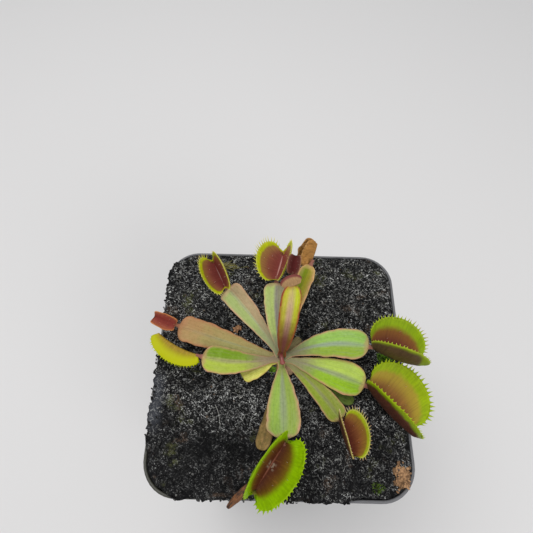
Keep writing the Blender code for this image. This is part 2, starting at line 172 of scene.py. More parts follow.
# %% Paints
class Paint:
    """A material under construction, with a Principled shader at its end."""

    def __init__(self, name, roughness=0.5, **sockets):
        self.material = bpy.data.materials.new(name)
        self.material.use_nodes = True
        self.tree = self.material.node_tree
        self.shader = self.tree.nodes["Principled BSDF"]
        self.set("Roughness", roughness)
        for word, value in sockets.items():
            self.set(word.replace("_", " ").title().replace("Ior", "IOR"), value)

    def set(self, socket, value):
        """Links a signal to one of the shader's sockets, or sets a number or colour on it."""
        if isinstance(value, Signal):
            self.tree.links.new(value.socket, self.shader.inputs[socket])
        else:
            self.shader.inputs[socket].default_value = value

    def node(self, kind, settings=None, sockets=None, output=0):
        """Adds a node of a kind: its settings first, then the values or links of its sockets."""
        made = self.tree.nodes.new(kind)
        for word, value in (settings or {}).items():
            setattr(made, word, value)
        for key, value in (sockets or {}).items():
            if isinstance(value, Signal):
                self.tree.links.new(value.socket, made.inputs[key])
            else:
                made.inputs[key].default_value = value
        return Signal(self, made.outputs[output])

    def mark(self, name):
        """One of the mesh's own marks, as a number."""
        return self.node("ShaderNodeAttribute", {"attribute_name": name}, output="Fac")

    def place(self, scale=(1, 1, 1), turn=(0, 0, 0)):
        """Object coordinates in millimetres, stretched and turned by a Mapping node."""
        spot = self.node("ShaderNodeTexCoord", output="Object")
        sizes = [s / MM for s in scale]
        return self.node("ShaderNodeMapping", {}, {"Vector": spot, "Rotation": turn, "Scale": sizes})

    def vector(self, x, y, z):
        """Three numbers as one vector."""
        return self.node("ShaderNodeCombineXYZ", {}, {0: x, 1: y, 2: z})

    def noise(self, spot, scale, detail=3.0, rough=0.55, distortion=0.0):
        """Cloudy noise about 0.5, with scale features to a millimetre."""
        sockets = {"Vector": spot, "Scale": scale, "Detail": detail, "Roughness": rough,
                   "Distortion": distortion}
        return self.node("ShaderNodeTexNoise", {}, sockets)

    def cells(self, spot, scale, output="Distance"):
        """A Voronoi pattern: the distance to the middle of each cell, or a random Color for each cell."""
        return self.node("ShaderNodeTexVoronoi", {}, {"Vector": spot, "Scale": scale}, output=output)

    def strokes(self, length, width, turn):
        """Noise stretched into strokes, of a length and width in millimetres, turned about +Z."""
        spot = self.node("ShaderNodeTexCoord", output="Object")
        sizes = [s * MM for s in (length, width, width)]
        sockets = {"Vector": spot, "Rotation": (0, 0, turn), "Scale": sizes}
        stretched = self.node("ShaderNodeMapping", {"vector_type": "TEXTURE"}, sockets)
        return self.noise(stretched, 1.0, 2.0, 0.5, 0.5)

    def axis(self, spot, number):
        """One of a vector's three numbers."""
        return self.node("ShaderNodeSeparateXYZ", {}, {0: spot}, output=number)

    def mix(self, factor, a, b, blend="MIX"):
        """From a to b as factor goes from 0 to 1. Each is a signal or a display colour."""
        a, b = (tint(colour) if isinstance(colour, tuple) else colour for colour in (a, b))
        settings = {"data_type": "RGBA", "blend_type": blend, "clamp_factor": True}
        return self.node("ShaderNodeMix", settings, {0: factor, 6: a, 7: b}, output=2)

    def bump(self, height, distance, strength=1.0):
        """Feeds a height, in metres of relief for a change of 1, to the shader's Normal."""
        sockets = {"Strength": strength, "Distance": distance, "Height": height}
        self.set("Normal", self.node("ShaderNodeBump", {}, sockets))


print("paints do", ", ".join(word for word in vars(Paint) if "__" not in word))


# %% Display colours
def tint(colour):
    """A display colour, 0 to 255, as the linear colour that shaders use."""
    shares = [part / 255 for part in colour]
    return (*[s / 12.92 if s <= 0.04045 else ((s + 0.055) / 1.055) ** 2.4 for s in shares], 1)


def scaled(colour, share, more=0):
    """A display colour made darker or brighter by a share of itself, and by a few steps more."""
    return tuple(min(part * share + more, 255) for part in colour)


print("a mid grey of 128 is", round(tint((128, 128, 128))[0], 3), "in linear light")


# %% [markdown]
# ## Skins: grids made into meshes
#
# Blender has grid and tube primitives, but a mesh filled from whole arrays is quicker and can carry marks:
# numbers at each point, such as how far along a leaf it lies, which a material reads to paint veins and
# margins where they belong. A skin gathers any number of closed grids into one piece.

# %% Skins
COINCIDE = 0.0005 * MM  # points closer than this are one


def unit(vectors):
    """Each vector divided by its length."""
    return vectors / np.maximum(np.linalg.norm(vectors, axis=-1, keepdims=True), 1e-12)


def grid_faces(rows, columns):
    """The corner numbers of the faces of a grid whose last column meets its first."""
    row, column = np.meshgrid(np.arange(rows - 1), np.arange(columns), indexing="ij")
    after = (column + 1) % columns
    corners = [row * columns + column, row * columns + after,
               (row + 1) * columns + after, (row + 1) * columns + column]
    return np.stack(corners, axis=-1).reshape(-1, 4)


class Skin:
    """Closed grids gathered into one mesh."""

    def __init__(self, *marks):
        self.points, self.faces, self.finishes = [], [], []
        self.marks = {word: [] for word in marks}
        self.count = 0

    def add(self, points, finish=0, **marks):
        """Adds grids shaped (rows, columns, 3), or (number, rows, columns, 3) for several alike.

        Columns run round and close on themselves. The first and last rows are closed by a point in their
        middle. A grid whose volume comes out negative faces inwards, so its faces are turned over.
        """
        points = np.asarray(points, float)
        points = points.reshape(-1, *points.shape[-3:])
        first, last = (points[:, row].mean(axis=2, keepdims=True) for row in (slice(1), slice(-1, None)))
        shape = points[:, :1].shape
        first, last = np.broadcast_to(first, shape), np.broadcast_to(last, shape)
        points = np.concatenate([first, points, last], axis=1)
        number, rows, columns, _ = points.shape
        faces = grid_faces(rows, columns)
        local = (points - points.mean(axis=(1, 2), keepdims=True)).reshape(number, -1, 3)
        a, b, c, d = np.moveaxis(local[:, faces], 2, 0)
        volume = np.einsum("nfi,nfi->n", a, np.cross(b, c) + np.cross(c, d))
        turned = np.where((volume < 0)[:, None, None], faces[None, :, ::-1], faces[None])
        starts = self.count + np.arange(number)[:, None, None] * rows * columns
        self.faces.append((turned + starts).reshape(-1, 4))
        self.finishes.append(np.full(number * len(faces), finish))
        self.points.append(points.reshape(-1, 3))
        for word, gathered in self.marks.items():
            values = np.broadcast_to(np.asarray(marks.get(word, 0.0), float), (number, rows - 2, columns))
            gathered.append(np.concatenate([values[:, :1], values, values[:, -1:]], axis=1).ravel())
        self.count += number * rows * columns

    def make(self, name, *paints):
        """The piece: points that coincide are merged, so that seams and ends close."""
        mesh = bpy.data.meshes.new(name)
        points, faces = np.concatenate(self.points), np.concatenate(self.faces)
        mesh.vertices.add(len(points))
        mesh.vertices.foreach_set("co", points.ravel())
        mesh.loops.add(faces.size)
        mesh.loops.foreach_set("vertex_index", faces.ravel().astype(np.int32))
        mesh.polygons.add(len(faces))
        mesh.polygons.foreach_set("loop_start", np.arange(0, faces.size, 4, dtype=np.int32))
        mesh.polygons.foreach_set("material_index", np.concatenate(self.finishes).astype(np.int32))
        for word, gathered in self.marks.items():
            values = np.concatenate(gathered).astype(np.float32)
            mesh.attributes.new(word, "FLOAT", "POINT").data.foreach_set("value", values)
        mesh.update(calc_edges=True)
        bm = bmesh.new()
        bm.from_mesh(mesh)
        bmesh.ops.remove_doubles(bm, verts=bm.verts, dist=COINCIDE)
        bm.to_mesh(mesh)
        bm.free()
        for paint in paints:
            mesh.materials.append(paint.material)
        mesh.shade_smooth()
        return show(name, mesh)


def settle(piece, node):
    """The piece rides on the one body and stands for a node, whose solid is hidden."""
    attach(piece, "root")
    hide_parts(node)
    print(f"{piece.name}: {len(piece.data.polygons)} faces for {node}")


print("a tube of 3 rings of 4 points has", len(grid_faces(3, 4)), "faces")


# %% [markdown]
# ## Studio
#
# A plain pale floor and soft light show the object without colouring it. One strong lamp would cast hard
# shadows across the small leaves. Here most light comes from a bright, even sky, which leaves only faint
# ones, and two large soft lamps, above at the left and in front at the right, put a sheen on the leaves.

# %% Studio
FLOOR_TINT = (216, 214, 213)
FLOOR_REACH = 3.0  # metres each way
SKY_TINT, SKY_STRENGTH = (0.96, 0.98, 1.0, 1), 0.62
LAMPS = {  # place and side in metres, power in watts
    "window": ((-0.2, 0.15, 0.8), 0.5, 2.8),
    "fill": ((0.45, -0.55, 0.6), 0.6, 2.4),
}


def make_floor():
    """A wide plane under the pot, which isn't part of the object."""
    bm = bmesh.new()
    bmesh.ops.create_grid(bm, x_segments=1, y_segments=1, size=FLOOR_REACH)
    floor = show("floor", mesh_from(bm, "floor"))
    floor.data.materials.append(Paint("floor", 0.7, base_color=tint(FLOOR_TINT)).material)


def make_lights():
    """An even sky, and square lamps that face the crown."""
    world = bpy.data.worlds.new("sky")
    world.use_nodes = True
    sky = world.node_tree.nodes["Background"].inputs
    sky["Color"].default_value, sky["Strength"].default_value = SKY_TINT, SKY_STRENGTH
    bpy.context.scene.world = world
    for name, (place, side, power) in LAMPS.items():
        lamp = bpy.data.lights.new(name, "AREA")
        lamp.size, lamp.energy = side, power
        holder = show(name, lamp)
        holder.location = place
        holder.rotation_euler = (Vector(CROWN) - Vector(place)).to_track_quat("-Z", "Y").to_euler()


make_floor()
make_lights()
bpy.context.scene.view_settings.view_transform = "Standard"
print("studio: a floor, a sky and", len(LAMPS), "lamps")


# %% [markdown]
# ## Pot
#
# A nursery pot is one thin moulding of dark plastic: a tapered square body with round corners, a straight
# collar round its mouth and holes in its floor. It could be a bevelled box with modifiers. As a surface, it
# is one rounded-square outline carried down a profile: over the lip, down the collar and its step, down the
# tapered wall, across the floor and back up the inside. Only the holes are cut afterwards.

# %% Outline of the pot
COLLAR_HEIGHT, COLLAR_STEP, TAPER, WALL, FLOOR = 12 * MM, 1.8 * MM, 0.078, 1.1 * MM, 1.4 * MM
RIM_CORNER, BODY_CORNER = 11.9 * MM, 10.5 * MM
LEDGE = POT_HEIGHT - COLLAR_HEIGHT
STEP_ROUND, FOOT_ROUND, LIP_ROUND = 0.35 * MM, 1.2 * MM, 0.45 * MM  # radii of the moulding's edges
WALL_BOW = 0.35 * MM  # how far the middle of a wall bows in


def rounded_square(side, corner, count):
    """Count points round a square with round corners, evenly spread over its straights and arcs."""
    half, straight = side / 2, side / 2 - corner
    arc = corner * math.pi / 2
    around = np.arange(count) / count * 4 * (2 * straight + arc)
    quarter, rest = np.divmod(around, 2 * straight + arc)
    turn = np.clip((rest - 2 * straight) / corner, 0, math.pi / 2)
    along = np.minimum(rest, 2 * straight) - straight
    x = np.where(rest <= 2 * straight, half, straight + corner * np.cos(turn))
    y = np.where(rest <= 2 * straight, along, straight + corner * np.sin(turn))
    angle = quarter * math.pi / 2
    return np.stack([x * np.cos(angle) - y * np.sin(angle), x * np.sin(angle) + y * np.cos(angle)], axis=-1)


def body_side(height, inset=0.0):
    """The side of the tapered body at a height, less an inset on each face."""
    return RIM_SIDE - 2 * COLLAR_STEP - 2 * TAPER * (LEDGE - height) - 2 * inset


print("the body is", round(body_side(0) / MM, 1), "mm wide at its foot")


# %% Profile and surface of the pot
def pot_profile():
    """Rows of side, corner radius and height, from the middle of the underside round to the inside floor."""
    soft, mouth = STEP_ROUND, RIM_SIDE - 2 * WALL
    rows = [(body_side(0) * share, BODY_CORNER * share, 0) for share in (0.02, 0.35, 0.7, 0.9)]
    for turn in np.linspace(0, math.pi / 2, 5):  # the round edge under the wall
        side = body_side(0) - 2 * FOOT_ROUND * (1 - math.sin(turn))
        rows.append((side, BODY_CORNER, FOOT_ROUND * (1 - math.cos(turn))))
    rows += [(body_side(height), BODY_CORNER, height) for height in np.linspace(6 * MM, LEDGE - soft, 9)]
    rows += [  # the step out to the collar, and the collar
        (body_side(LEDGE) + soft, BODY_CORNER + soft / 2, LEDGE - soft / 6),
        (RIM_SIDE - 2 * soft, RIM_CORNER - soft, LEDGE),
        (RIM_SIDE - soft / 2, RIM_CORNER, LEDGE + soft / 3),
        (RIM_SIDE, RIM_CORNER, LEDGE + soft),
        (RIM_SIDE, RIM_CORNER, LEDGE + 4 * MM),
        (RIM_SIDE, RIM_CORNER, POT_HEIGHT - 1.6 * MM),
    ]
    for turn in np.linspace(0, math.pi, 9):  # the rounded lip
        drawn_in = WALL * (1 - math.cos(turn))
        height = POT_HEIGHT - LIP_ROUND * (1 - math.sin(turn))
        rows.append((RIM_SIDE - drawn_in, RIM_CORNER - drawn_in / 2, height))
    rows += [  # down the inside of the collar, and its ledge
        (mouth, RIM_CORNER - WALL, LEDGE + WALL + soft),
        (mouth - 2 * soft, RIM_CORNER - WALL, LEDGE + WALL),
    ]
    inside = BODY_CORNER - WALL
    rows += [(body_side(height, WALL), inside, height) for height in np.linspace(LEDGE, FLOOR + 1 * MM, 9)]
    rows += [(body_side(FLOOR, WALL) * share, inside * share, FLOOR) for share in (0.97, 0.6, 0.05)]
    return rows


def pot_surface(count=176):
    """The outline carried down the profile; moulded walls bow in by a hair between their corners."""
    rings = []
    for side, corner, height in pot_profile():
        outline = rounded_square(side, corner, count)
        bow = WALL_BOW * 4 * np.clip(height / POT_HEIGHT, 0, 1) * np.clip((LEDGE - height) / LEDGE, 0, 1)
        flat = np.abs(outline) / (side / 2)
        pull = 1 - bow / (side / 2) * (1 - flat.min(axis=1) ** 2) * (flat.max(axis=1) > 0.98)
        rings.append(np.column_stack([outline * pull[:, None], np.full(count, height)]))
    return np.array(rings)


print("pot profile:", len(pot_profile()), "rings")

# %% [markdown]
# The plastic is near black in itself and looks mid grey where it faces the light. It has a fine moulded
# grain, faint vertical flow marks, and dried splashes of peat water, strongest under the collar and low
# down. Those change both its colour and how dull it is.

# %% Finish of the pot
def pot_paint():
    """Plastic with a moulded grain, dried splashes, and a lip painted paler as a highlight, or soiled at one
    corner.
    """
    paint = Paint("pot_plastic", specular_ior_level=0.45)
    grain = paint.noise(paint.place(), 2.2, 2.0, 0.6)
    flow = paint.noise(paint.place((0.35, 0.35, 0.02)), 1.0, 3.0)
    cloud = paint.noise(paint.place(), 0.06, 4.0, 0.6)
    splash = paint.noise(paint.place((1, 1, 0.35)), 0.35, 5.0, 0.7).rise(0.54, 0.66)
    low = paint.mark("height").rise(0.22, 0.0) + paint.mark("height").rise(0.84, 0.9) * 0.5
    dirt = splash * (0.25 + low.math("MINIMUM", 1.0) * 0.75) * cloud.rise(0.35, 0.6)
    plastic = paint.mix(cloud.rise(0.3, 0.7) * 0.6 + flow * 0.4, (54, 54, 57), (70, 70, 74))
    dusty = paint.mix(dirt * 0.75, plastic, (104, 97, 86))
    # The top of the lip is painted paler, a painted highlight where it catches the light; at the near-left
    # corner it is soiled with peat instead.
    lip = paint.mark("height").rise(0.982, 0.997)
    spot = paint.place()
    soiled = paint.axis(spot, 0).rise(-10, -34) * paint.axis(spot, 1).rise(-10, -34)
    lip_highlight_and_soil = paint.mix(lip * (0.3 + flow * 0.5) * (1 - soiled), dusty, (116, 116, 118))
    lip_highlight_and_soil = paint.mix(lip * soiled * 0.8, lip_highlight_and_soil, (58, 57, 44))
    paint.set("Base Color", paint.mix(grain.rise(0.45, 0.75) * 0.12, lip_highlight_and_soil, (96, 96, 100)))
    paint.set("Roughness", 0.36 + flow * 0.1 + dirt * 0.35 + grain * 0.06)
    paint.bump(grain * 0.6 + flow * 0.8 + dirt * 1.5, 0.05 * MM)
    return paint


POT_PAINT = pot_paint()
print("pot finish:", len(POT_PAINT.tree.nodes), "nodes")

# %% The pot
HOLE_RADIUS, HOLE_REACH = 4.5 * MM, 22 * MM  # of each drain hole, and how far from the middle it is
SHARP = math.radians(40)  # the pot's faces that meet at more than this keep a hard edge


def cut_holes(piece):
    """Eight drain holes, in a square about the middle of the floor, cut with Boolean modifiers."""
    steps = (-HOLE_REACH, 0, HOLE_REACH)
    for x, y in [(x, y) for x in steps for y in steps if x or y]:
        bm = bmesh.new()
        bmesh.ops.create_cone(bm, cap_ends=True, segments=40, radius1=HOLE_RADIUS, radius2=HOLE_RADIUS,
                              depth=10 * MM)
        bmesh.ops.translate(bm, verts=bm.verts, vec=(x, y, 0))
        cutter = show("drain_hole", mesh_from(bm, "drain_hole"))
        modifier = piece.modifiers.new("drain_hole", "BOOLEAN")
        modifier.object, modifier.operation = cutter, "DIFFERENCE"
        with bpy.context.temp_override(object=piece, active_object=piece):
            bpy.ops.object.modifier_apply(modifier=modifier.name)
        bpy.data.objects.remove(cutter)


def make_pot():
    """The surface as a skin, with its holes cut and its hard edges marked."""
    skin = Skin("height")
    rings = pot_surface()
    skin.add(rings, height=rings[..., 2] / POT_HEIGHT)
    piece = skin.make("pot_finished", POT_PAINT)
    cut_holes(piece)
    piece.data.set_sharp_from_angle(angle=SHARP)
    settle(piece, "pot")


make_pot()


# %% [markdown]
# ## Peat
#
# The pot is filled to the brim with black, fibrous peat that spills over the rim at the left and near
# sides. It could be one plane with a displacement texture. Here the top is a height field, several layers
# of smoothed random bumps, and on it lie thousands of separate crumbs and fibres, because peat is read by
# its loose pieces: they catch the light one by one and cast their own small shadows.

# %% Random bumps
LATTICE = 97  # corners each way before the numbers repeat


def lattice_noise(x, y, cell, seed):
    """Smooth bumps: a random number at each corner of a lattice, blended by an S-curve in between.

    x and y are arrays in metres, cell is the lattice's spacing. The result runs from -1 to 1.
    """
    table = np.random.default_rng(seed).uniform(-1, 1, (LATTICE, LATTICE))
    column, row = np.floor(x / cell).astype(int), np.floor(y / cell).astype(int)
    u, v = x / cell - column, y / cell - row
    u, v = u * u * (3 - 2 * u), v * v * (3 - 2 * v)
    left, right = column % LATTICE, (column + 1) % LATTICE
    below, above = row % LATTICE, (row + 1) % LATTICE
    low = table[below, left] * (1 - u) + table[below, right] * u
    high = table[above, left] * (1 - u) + table[above, right] * u
    return low * (1 - v) + high * v


def peat_height(x, y):
    """The height of the peat's top: broad swells, clods, crumbs, calmer close to the crown."""
    swell = 0.30 * lattice_noise(x, y, 11 * MM, 1) + 0.22 * lattice_noise(x, y, 5 * MM, 2)
    clods = 0.85 * (np.abs(lattice_noise(x + y / 3, y, 2.7 * MM, 3)) - 0.22)
    crumbs = 0.36 * (0.5 - np.abs(lattice_noise(x, y + x / 2, 1.1 * MM, 4)))
    grains = 0.18 * lattice_noise(x, y, 0.55 * MM, 5)
    calm = 0.35 + 0.65 * np.clip(np.hypot(x - CROWN[0], y - CROWN[1]) / (12 * MM), 0, 1)
    return PEAT_TOP + (swell + clods + crumbs + grains) * calm * MM


print("peat stands", round((PEAT_TOP - POT_HEIGHT) / MM, 1), "mm above the rim")

# %% The peat's top and sides
def spill(x, y):
    """1 where the peat spills over the rim, at the left side and part of the near one, and 0 elsewhere."""
    x, y = x / MM, y / MM
    left = np.clip((-x - 41) / 2, 0, 1) * np.clip((y + 34) / 6, 0, 1)
    near = np.clip((-y - 41) / 2, 0, 1) * np.clip((28 - x) / 10, 0, 1) * np.clip((x + 37) / 4, 0, 1)
    return np.maximum(left, near)


def lip_outline(count):
    """The ragged outline of the peat: along the inside of the rim, or over it where it spills."""
    inner = rounded_square(RIM_SIDE - 2.5 * MM, RIM_CORNER - 1.2 * MM, count)
    outer = rounded_square(RIM_SIDE - 0.5 * MM, RIM_CORNER, count)
    over = spill(*outer.T)
    x, y = inner.T
    rough = 0.50 * lattice_noise(x, y, 6 * MM, 11) + 0.42 * lattice_noise(x, y, 1.9 * MM, 12)
    rough = rough + 0.55 * lattice_noise(x, y, 0.9 * MM, 13)
    rough = over * (1.3 * rough + 0.15) - (1 - over) * 0.45 * np.abs(rough)
    return inner + (outer - inner) * over[:, None] + unit(outer) * rough[:, None] * MM


def peat_surface(rings=150, count=560):
    """Rings that shrink from the outline to the middle, then the side: over the rim and down inside it."""
    outline = lip_outline(count)
    share = np.linspace(0, 1, rings)[:, None, None] ** 0.88
    flat = outline[None] * (1 - share) + np.array([CROWN[:2]]) * share
    top = np.dstack([flat, peat_height(flat[..., 0], flat[..., 1])])
    edge = 0.35 + 0.65 * np.clip(np.arange(rings) / 3.0, 0, 1) ** 0.6  # rounds the edge off
    low = POT_HEIGHT + 0.25 * MM
    top[..., 2] = low + (top[..., 2] - low) * edge[:, None]
    mouth = rounded_square(RIM_SIDE - 2 * WALL - 0.6 * MM, RIM_CORNER - WALL, count)
    inner = np.minimum(np.linalg.norm(mouth, axis=1), np.linalg.norm(outline, axis=1) - 0.3 * MM)
    tucked = unit(outline) * inner[:, None]
    sides = [np.column_stack([outline, np.full(count, POT_HEIGHT + 0.12 * MM)])]
    for depth in (0.12, -0.6, -3.0, -9.0):
        sides.append(np.column_stack([tucked, np.full(count, POT_HEIGHT + depth * MM)]))
    return np.concatenate([np.array(sides)[::-1], top])


def peat_relief(points):
    """How high each point stands over the mean, as a share of 0.5 mm: hollows are painted darker than crests,
    as shade.
    """
    return (points[..., 2] - PEAT_TOP) / (0.5 * MM)


print("peat grid:", peat_surface().shape)

# %% [markdown]
# Damp peat is nearly black, but every other grain and shred of it is dry and light grey, so close up it is
# a mass of tiny strokes with dark gaps. Cells under a millimetre across, each with a random grey, make the
# grains. Noise stretched into strokes in four directions makes the shreds. The near side is damper and
# darker, and the left edge, pressed against the rim, is smoother.

# %% Finish of the peat
def peat_paint():
    """Dark peat, then grains, shreds and painted glints where it is dry, stains, and painted shade in the
    hollows.
    """
    paint = Paint("peat", specular_ior_level=0.15)
    spot = paint.place()
    clods = paint.noise(spot, 0.5, 3.0, 0.6)
    coarse = paint.noise(spot, 0.11, 3.0, 0.6)
    warped = paint.place((1.0, 1.3, 1.0), (0, 0, 0.6))
    grey = paint.cells(warped, 1.35, "Color")
    gap = paint.cells(warped, 1.35)
    grit = paint.noise(spot, 1.7, 2.0, 0.6)
    shreds = paint.strokes(2.1, 0.46, 0.5)
    for length, turn in ((1.7, 1.7), (1.9, -0.6), (1.5, 2.6)):
        shreds = shreds.math("MAXIMUM", paint.strokes(length, 0.44, turn))
    relief = paint.mark("relief")
    x, y = paint.axis(spot, 0), paint.axis(spot, 1)
    damp = y.rise(-18, -27) * (0.6 + 0.4 * x.rise(24, 4)) + 0.4 * y.rise(-22, -32) * x.rise(4, -14)
    dry = (0.3 + 0.7 * coarse.rise(0.36, 0.56)) * (1 - damp * 0.55)
    dry = dry * (0.35 + 0.65 * clods.rise(0.42, 0.55))
    dark = paint.mix(clods.rise(0.35, 0.65), (8, 8, 9), (27, 27, 28))
    grains = grey.rise(0.52, 0.70) * gap.rise(0.55, 0.25)
    grained = paint.mix(grains * dry, dark, (146, 146, 144))
    shredded = paint.mix(shreds.rise(0.63, 0.71) * dry, grained, (218, 218, 214))
    # Painted glints: sparse near-white specks, fewer where the peat is damp.
    pale = grit.rise(0.64, 0.72) * (0.25 + 0.75 * dry)
    glinted = paint.mix(pale, shredded, (216, 215, 210))
    green = paint.noise(spot, 0.10, 3.0).rise(0.57, 0.68) * clods.rise(0.4, 0.6)
    mossy = paint.mix(green * 0.35, glinted, (96, 100, 48))
    brown = paint.noise(spot, 0.12, 3.0, 0.5, 0.4).rise(0.58, 0.70) * grit.rise(0.35, 0.6)
    earthy = paint.mix(brown * 0.4, mossy, (106, 84, 66))
    # Painted shade: the low points of the relief are darkened, as if shadowed between the clods.
    hollows_painted_dark = paint.mix(relief.rise(0.35, -0.7) * 0.85, earthy, (8, 8, 9))
    smooth = x.rise(-39.5, -42.5) * y.rise(-27, -21) * y.rise(-3, -9)
    paint.set("Base Color", paint.mix(smooth * (0.3 + clods * 0.6), hollows_painted_dark, (66, 68, 74)))
    paint.set("Roughness", 0.86 - grit.rise(0.5, 0.7) * 0.25)
    rough = shreds * 0.9 + grey * 0.35 + grit * 0.6 - gap * 0.3
    paint.bump(rough * (1 - smooth * 0.8), 0.45 * MM)
    return paint


PEAT_PAINT = peat_paint()
print("peat finish:", len(PEAT_PAINT.tree.nodes), "nodes")


# %% The peat
def make_peat():
    """The surface as a skin, marked with its relief."""
    skin = Skin("relief")
    points = peat_surface()
    skin.add(points, relief=peat_relief(points))
    settle(skin.make("peat_surface", PEAT_PAINT), "soil")


make_peat()

# %% [markdown]
# ### Crumbs and fibres
#
# Loose crumbs are tiny uneven balls, and fibres are thin bent hairs. Each kind is one batch of grids: all
# the balls at once, as an array with one more dimension, so thousands cost no more code than one. Their
# places come from a seeded generator, so every run gives the same peat.

# %% Directions and rings
def directions(heading, pitch):
    """Unit vectors for headings and pitches in radians."""
    level = np.cos(pitch)
    return np.stack([level * np.cos(heading), level * np.sin(heading), np.sin(pitch)], axis=-1)


def ring_round(path, side, up, sides):
    """A ring of points round each place on a path, with side and up as its two half-axes there."""
    angle = np.linspace(0, 2 * math.pi, sides, endpoint=False)[:, None]
    return path[..., None, :] + side[..., None, :] * np.cos(angle) + up[..., None, :] * np.sin(angle)


print("east, level, is", directions(0.0, 0.0))


# %% Balls
def balls(places, radii, random, rows, columns, rough=0.25):
    """Uneven balls: points on a sphere, scaled by radii (number, 3), jittered and turned about +Z."""
    number = len(places)
    down = np.linspace(0.12, math.pi - 0.12, rows)[:, None]
    around = np.linspace(0, 2 * math.pi, columns, endpoint=False)[None]
    level = [np.sin(down) * np.cos(around), np.sin(down) * np.sin(around)]
    ball = np.stack([*level, np.cos(down) + 0 * around], axis=-1)
    jitter = 1 + rough * random.uniform(-1, 1, (number, rows, columns, 1))
    made = ball[None] * jitter * radii[:, None, None]
    turn = random.uniform(0, 2 * math.pi, number)[:, None, None]
    x = made[..., 0] * np.cos(turn) - made[..., 1] * np.sin(turn)
    y = made[..., 0] * np.sin(turn) + made[..., 1] * np.cos(turn)
    return np.stack([x, y, made[..., 2]], axis=-1) + places[:, None, None]


print("a crumb has", 2 * 6 * 4, "triangles")


# %% Hairs
def hairs(starts, heading, pitch, length, radius, random, rows, columns, bend):
    """Thin bent rods: the heading and pitch drift evenly along each, and a ring of points goes round it.

    Each thins evenly to half its radius.
    """
    number = len(starts)
    share = np.linspace(0, 1, rows)[None]
    turn = heading[:, None] + random.normal(0, bend, (number, 1)) * share
    rise = pitch[:, None] + random.normal(0, 0.5 * bend, (number, 1)) * share
    ahead = directions(turn, rise)
    steps = ahead * (length / (rows - 1))[:, None, None]
    path = starts[:, None] + np.cumsum(steps, axis=1) - steps[:, :1]
    side = np.stack([-np.sin(turn), np.cos(turn), 0 * turn], axis=-1)
    thick = (radius[:, None] * (1 - share / 2))[..., None]
    return ring_round(path, side * thick, np.cross(ahead, side) * thick, columns)


print("a short fibre has", 3 * 3, "points, a long one", 9 * 4)


# %% Scattering
def scatter(random, number, margin=1.5 * MM):
    """Random places on the peat's top, as rows of x, y and height, inside its outline."""
    half = RIM_SIDE / 2 - WALL
    spread = random.uniform(-1, 1, (4 * number, 2)) * (half - margin)
    corner = np.maximum(np.abs(spread) - (half - RIM_CORNER), 0)
    spread = spread[np.hypot(*corner.T) < RIM_CORNER - margin][:number]
    return np.column_stack([spread, peat_height(*spread.T)])


print("ready to scatter", len(scatter(np.random.default_rng(1), 2000)), "places")

# %% Crumbs
CRUMBS, LUMPS, EDGE_CRUMBS = 3050, 300, 520


def crumb_paint():
    """Each crumb carries a shade from 0, black, to 1, pale."""
    paint = Paint("peat_crumbs", 0.88, specular_ior_level=0.15)
    shade = paint.mark("shade")
    grain = paint.noise(paint.place(), 2.5, 3.0, 0.7)
    dark = paint.mix(grain.rise(0.4, 0.65), (12, 12, 12), (44, 44, 44))
    grey = paint.mix(shade.rise(0.5, 0.85), dark, (122, 121, 118))
    brown = paint.mix(shade.rise(0.88, 0.92), grey, (92, 74, 58))
    paint.set("Base Color", paint.mix(shade.rise(0.955, 0.985), brown, (150, 147, 134)))
    paint.set("Roughness", 0.9 - grain * 0.25)
    paint.bump(grain, 0.12 * MM)
    return paint


def edge_places(random, number):
    """Places on the rim and just inside it, in clumps, where the peat spills over."""
    rim = rounded_square(RIM_SIDE - 0.9 * MM, RIM_CORNER, 6000)
    clump = lattice_noise(*rim.T, 4 * MM, 31) + 0.6 * lattice_noise(*rim.T, 1.3 * MM, 32)
    rim = rim[(spill(*rim.T) > 0.6) & (clump > -0.05)]
    spots = rim[random.integers(0, len(rim), number)]
    spots = spots + unit(spots) * np.minimum(random.normal(-0.3, 0.7, (number, 1)), 0.75) * MM
    return np.column_stack([spots, POT_HEIGHT + random.uniform(0.1, 0.7, number) * MM])


def make_crumbs():
    """Small crumbs and some larger lumps all over, then crumbs in clumps along the rim."""
    random = np.random.default_rng(21)
    skin = Skin("shade")
    places = scatter(random, CRUMBS)
    size = np.exp(random.normal(-1.42, 0.38, len(places)))
    radii = size[:, None] * random.uniform([0.7, 0.6, 0.45], [1.4, 1.0, 0.9], (len(places), 3)) * MM
    damp = np.clip((-19 * MM - places[:, 1]) / (8 * MM), 0, 1)
    shade = random.uniform(0, 1, len(places)) * (1 - 0.30 * damp)
    made = balls(places + [0, 0, 0.05 * MM], np.minimum(radii, 0.75 * MM), random, 4, 6)
    skin.add(made, shade=shade[:, None, None])
    places = scatter(random, LUMPS)
    radii = random.uniform([0.4, 0.35, 0.25], [1.1, 0.8, 0.5], (len(places), 3)) * MM
    made = balls(places, radii, random, 5, 8, 0.2)
    skin.add(made, shade=random.uniform(0, 0.45, (len(places), 1, 1)))
    places = edge_places(random, EDGE_CRUMBS)
    size = np.exp(random.normal(-1.30, 0.42, (len(places), 1))) * random.uniform(0.6, 1.4, (len(places), 3))
    made = balls(places, np.minimum(size, 0.7) * MM, random, 4, 6)
    skin.add(made, shade=random.uniform(0, 0.8, (len(places), 1, 1)))
    settle(skin.make("peat_crumbs", crumb_paint()), "soil")


make_crumbs()

# %% Shreds and fibres
def fibre_paint():
    """Each fibre carries a shade from 0, black, to 1, pale; 1.5 is the olive of old moss strands."""
    paint = Paint("peat_fibres", 0.7, specular_ior_level=0.2)
    shade = paint.mark("shade")
    bands = paint.noise(paint.place(), 1.4, 2.0)
    grey = paint.mix(shade.rise(0.1, 0.6), (20, 20, 20), (134, 133, 130))
    pale = paint.mix(shade.rise(0.65, 1.0), grey, (206, 204, 196))
    pale = paint.mix(shade.rise(1.2, 1.3), pale, (140, 134, 78))
    paint.set("Base Color", paint.mix(bands.rise(0.45, 0.6) * 0.4, pale, (44, 42, 40)))
    return paint


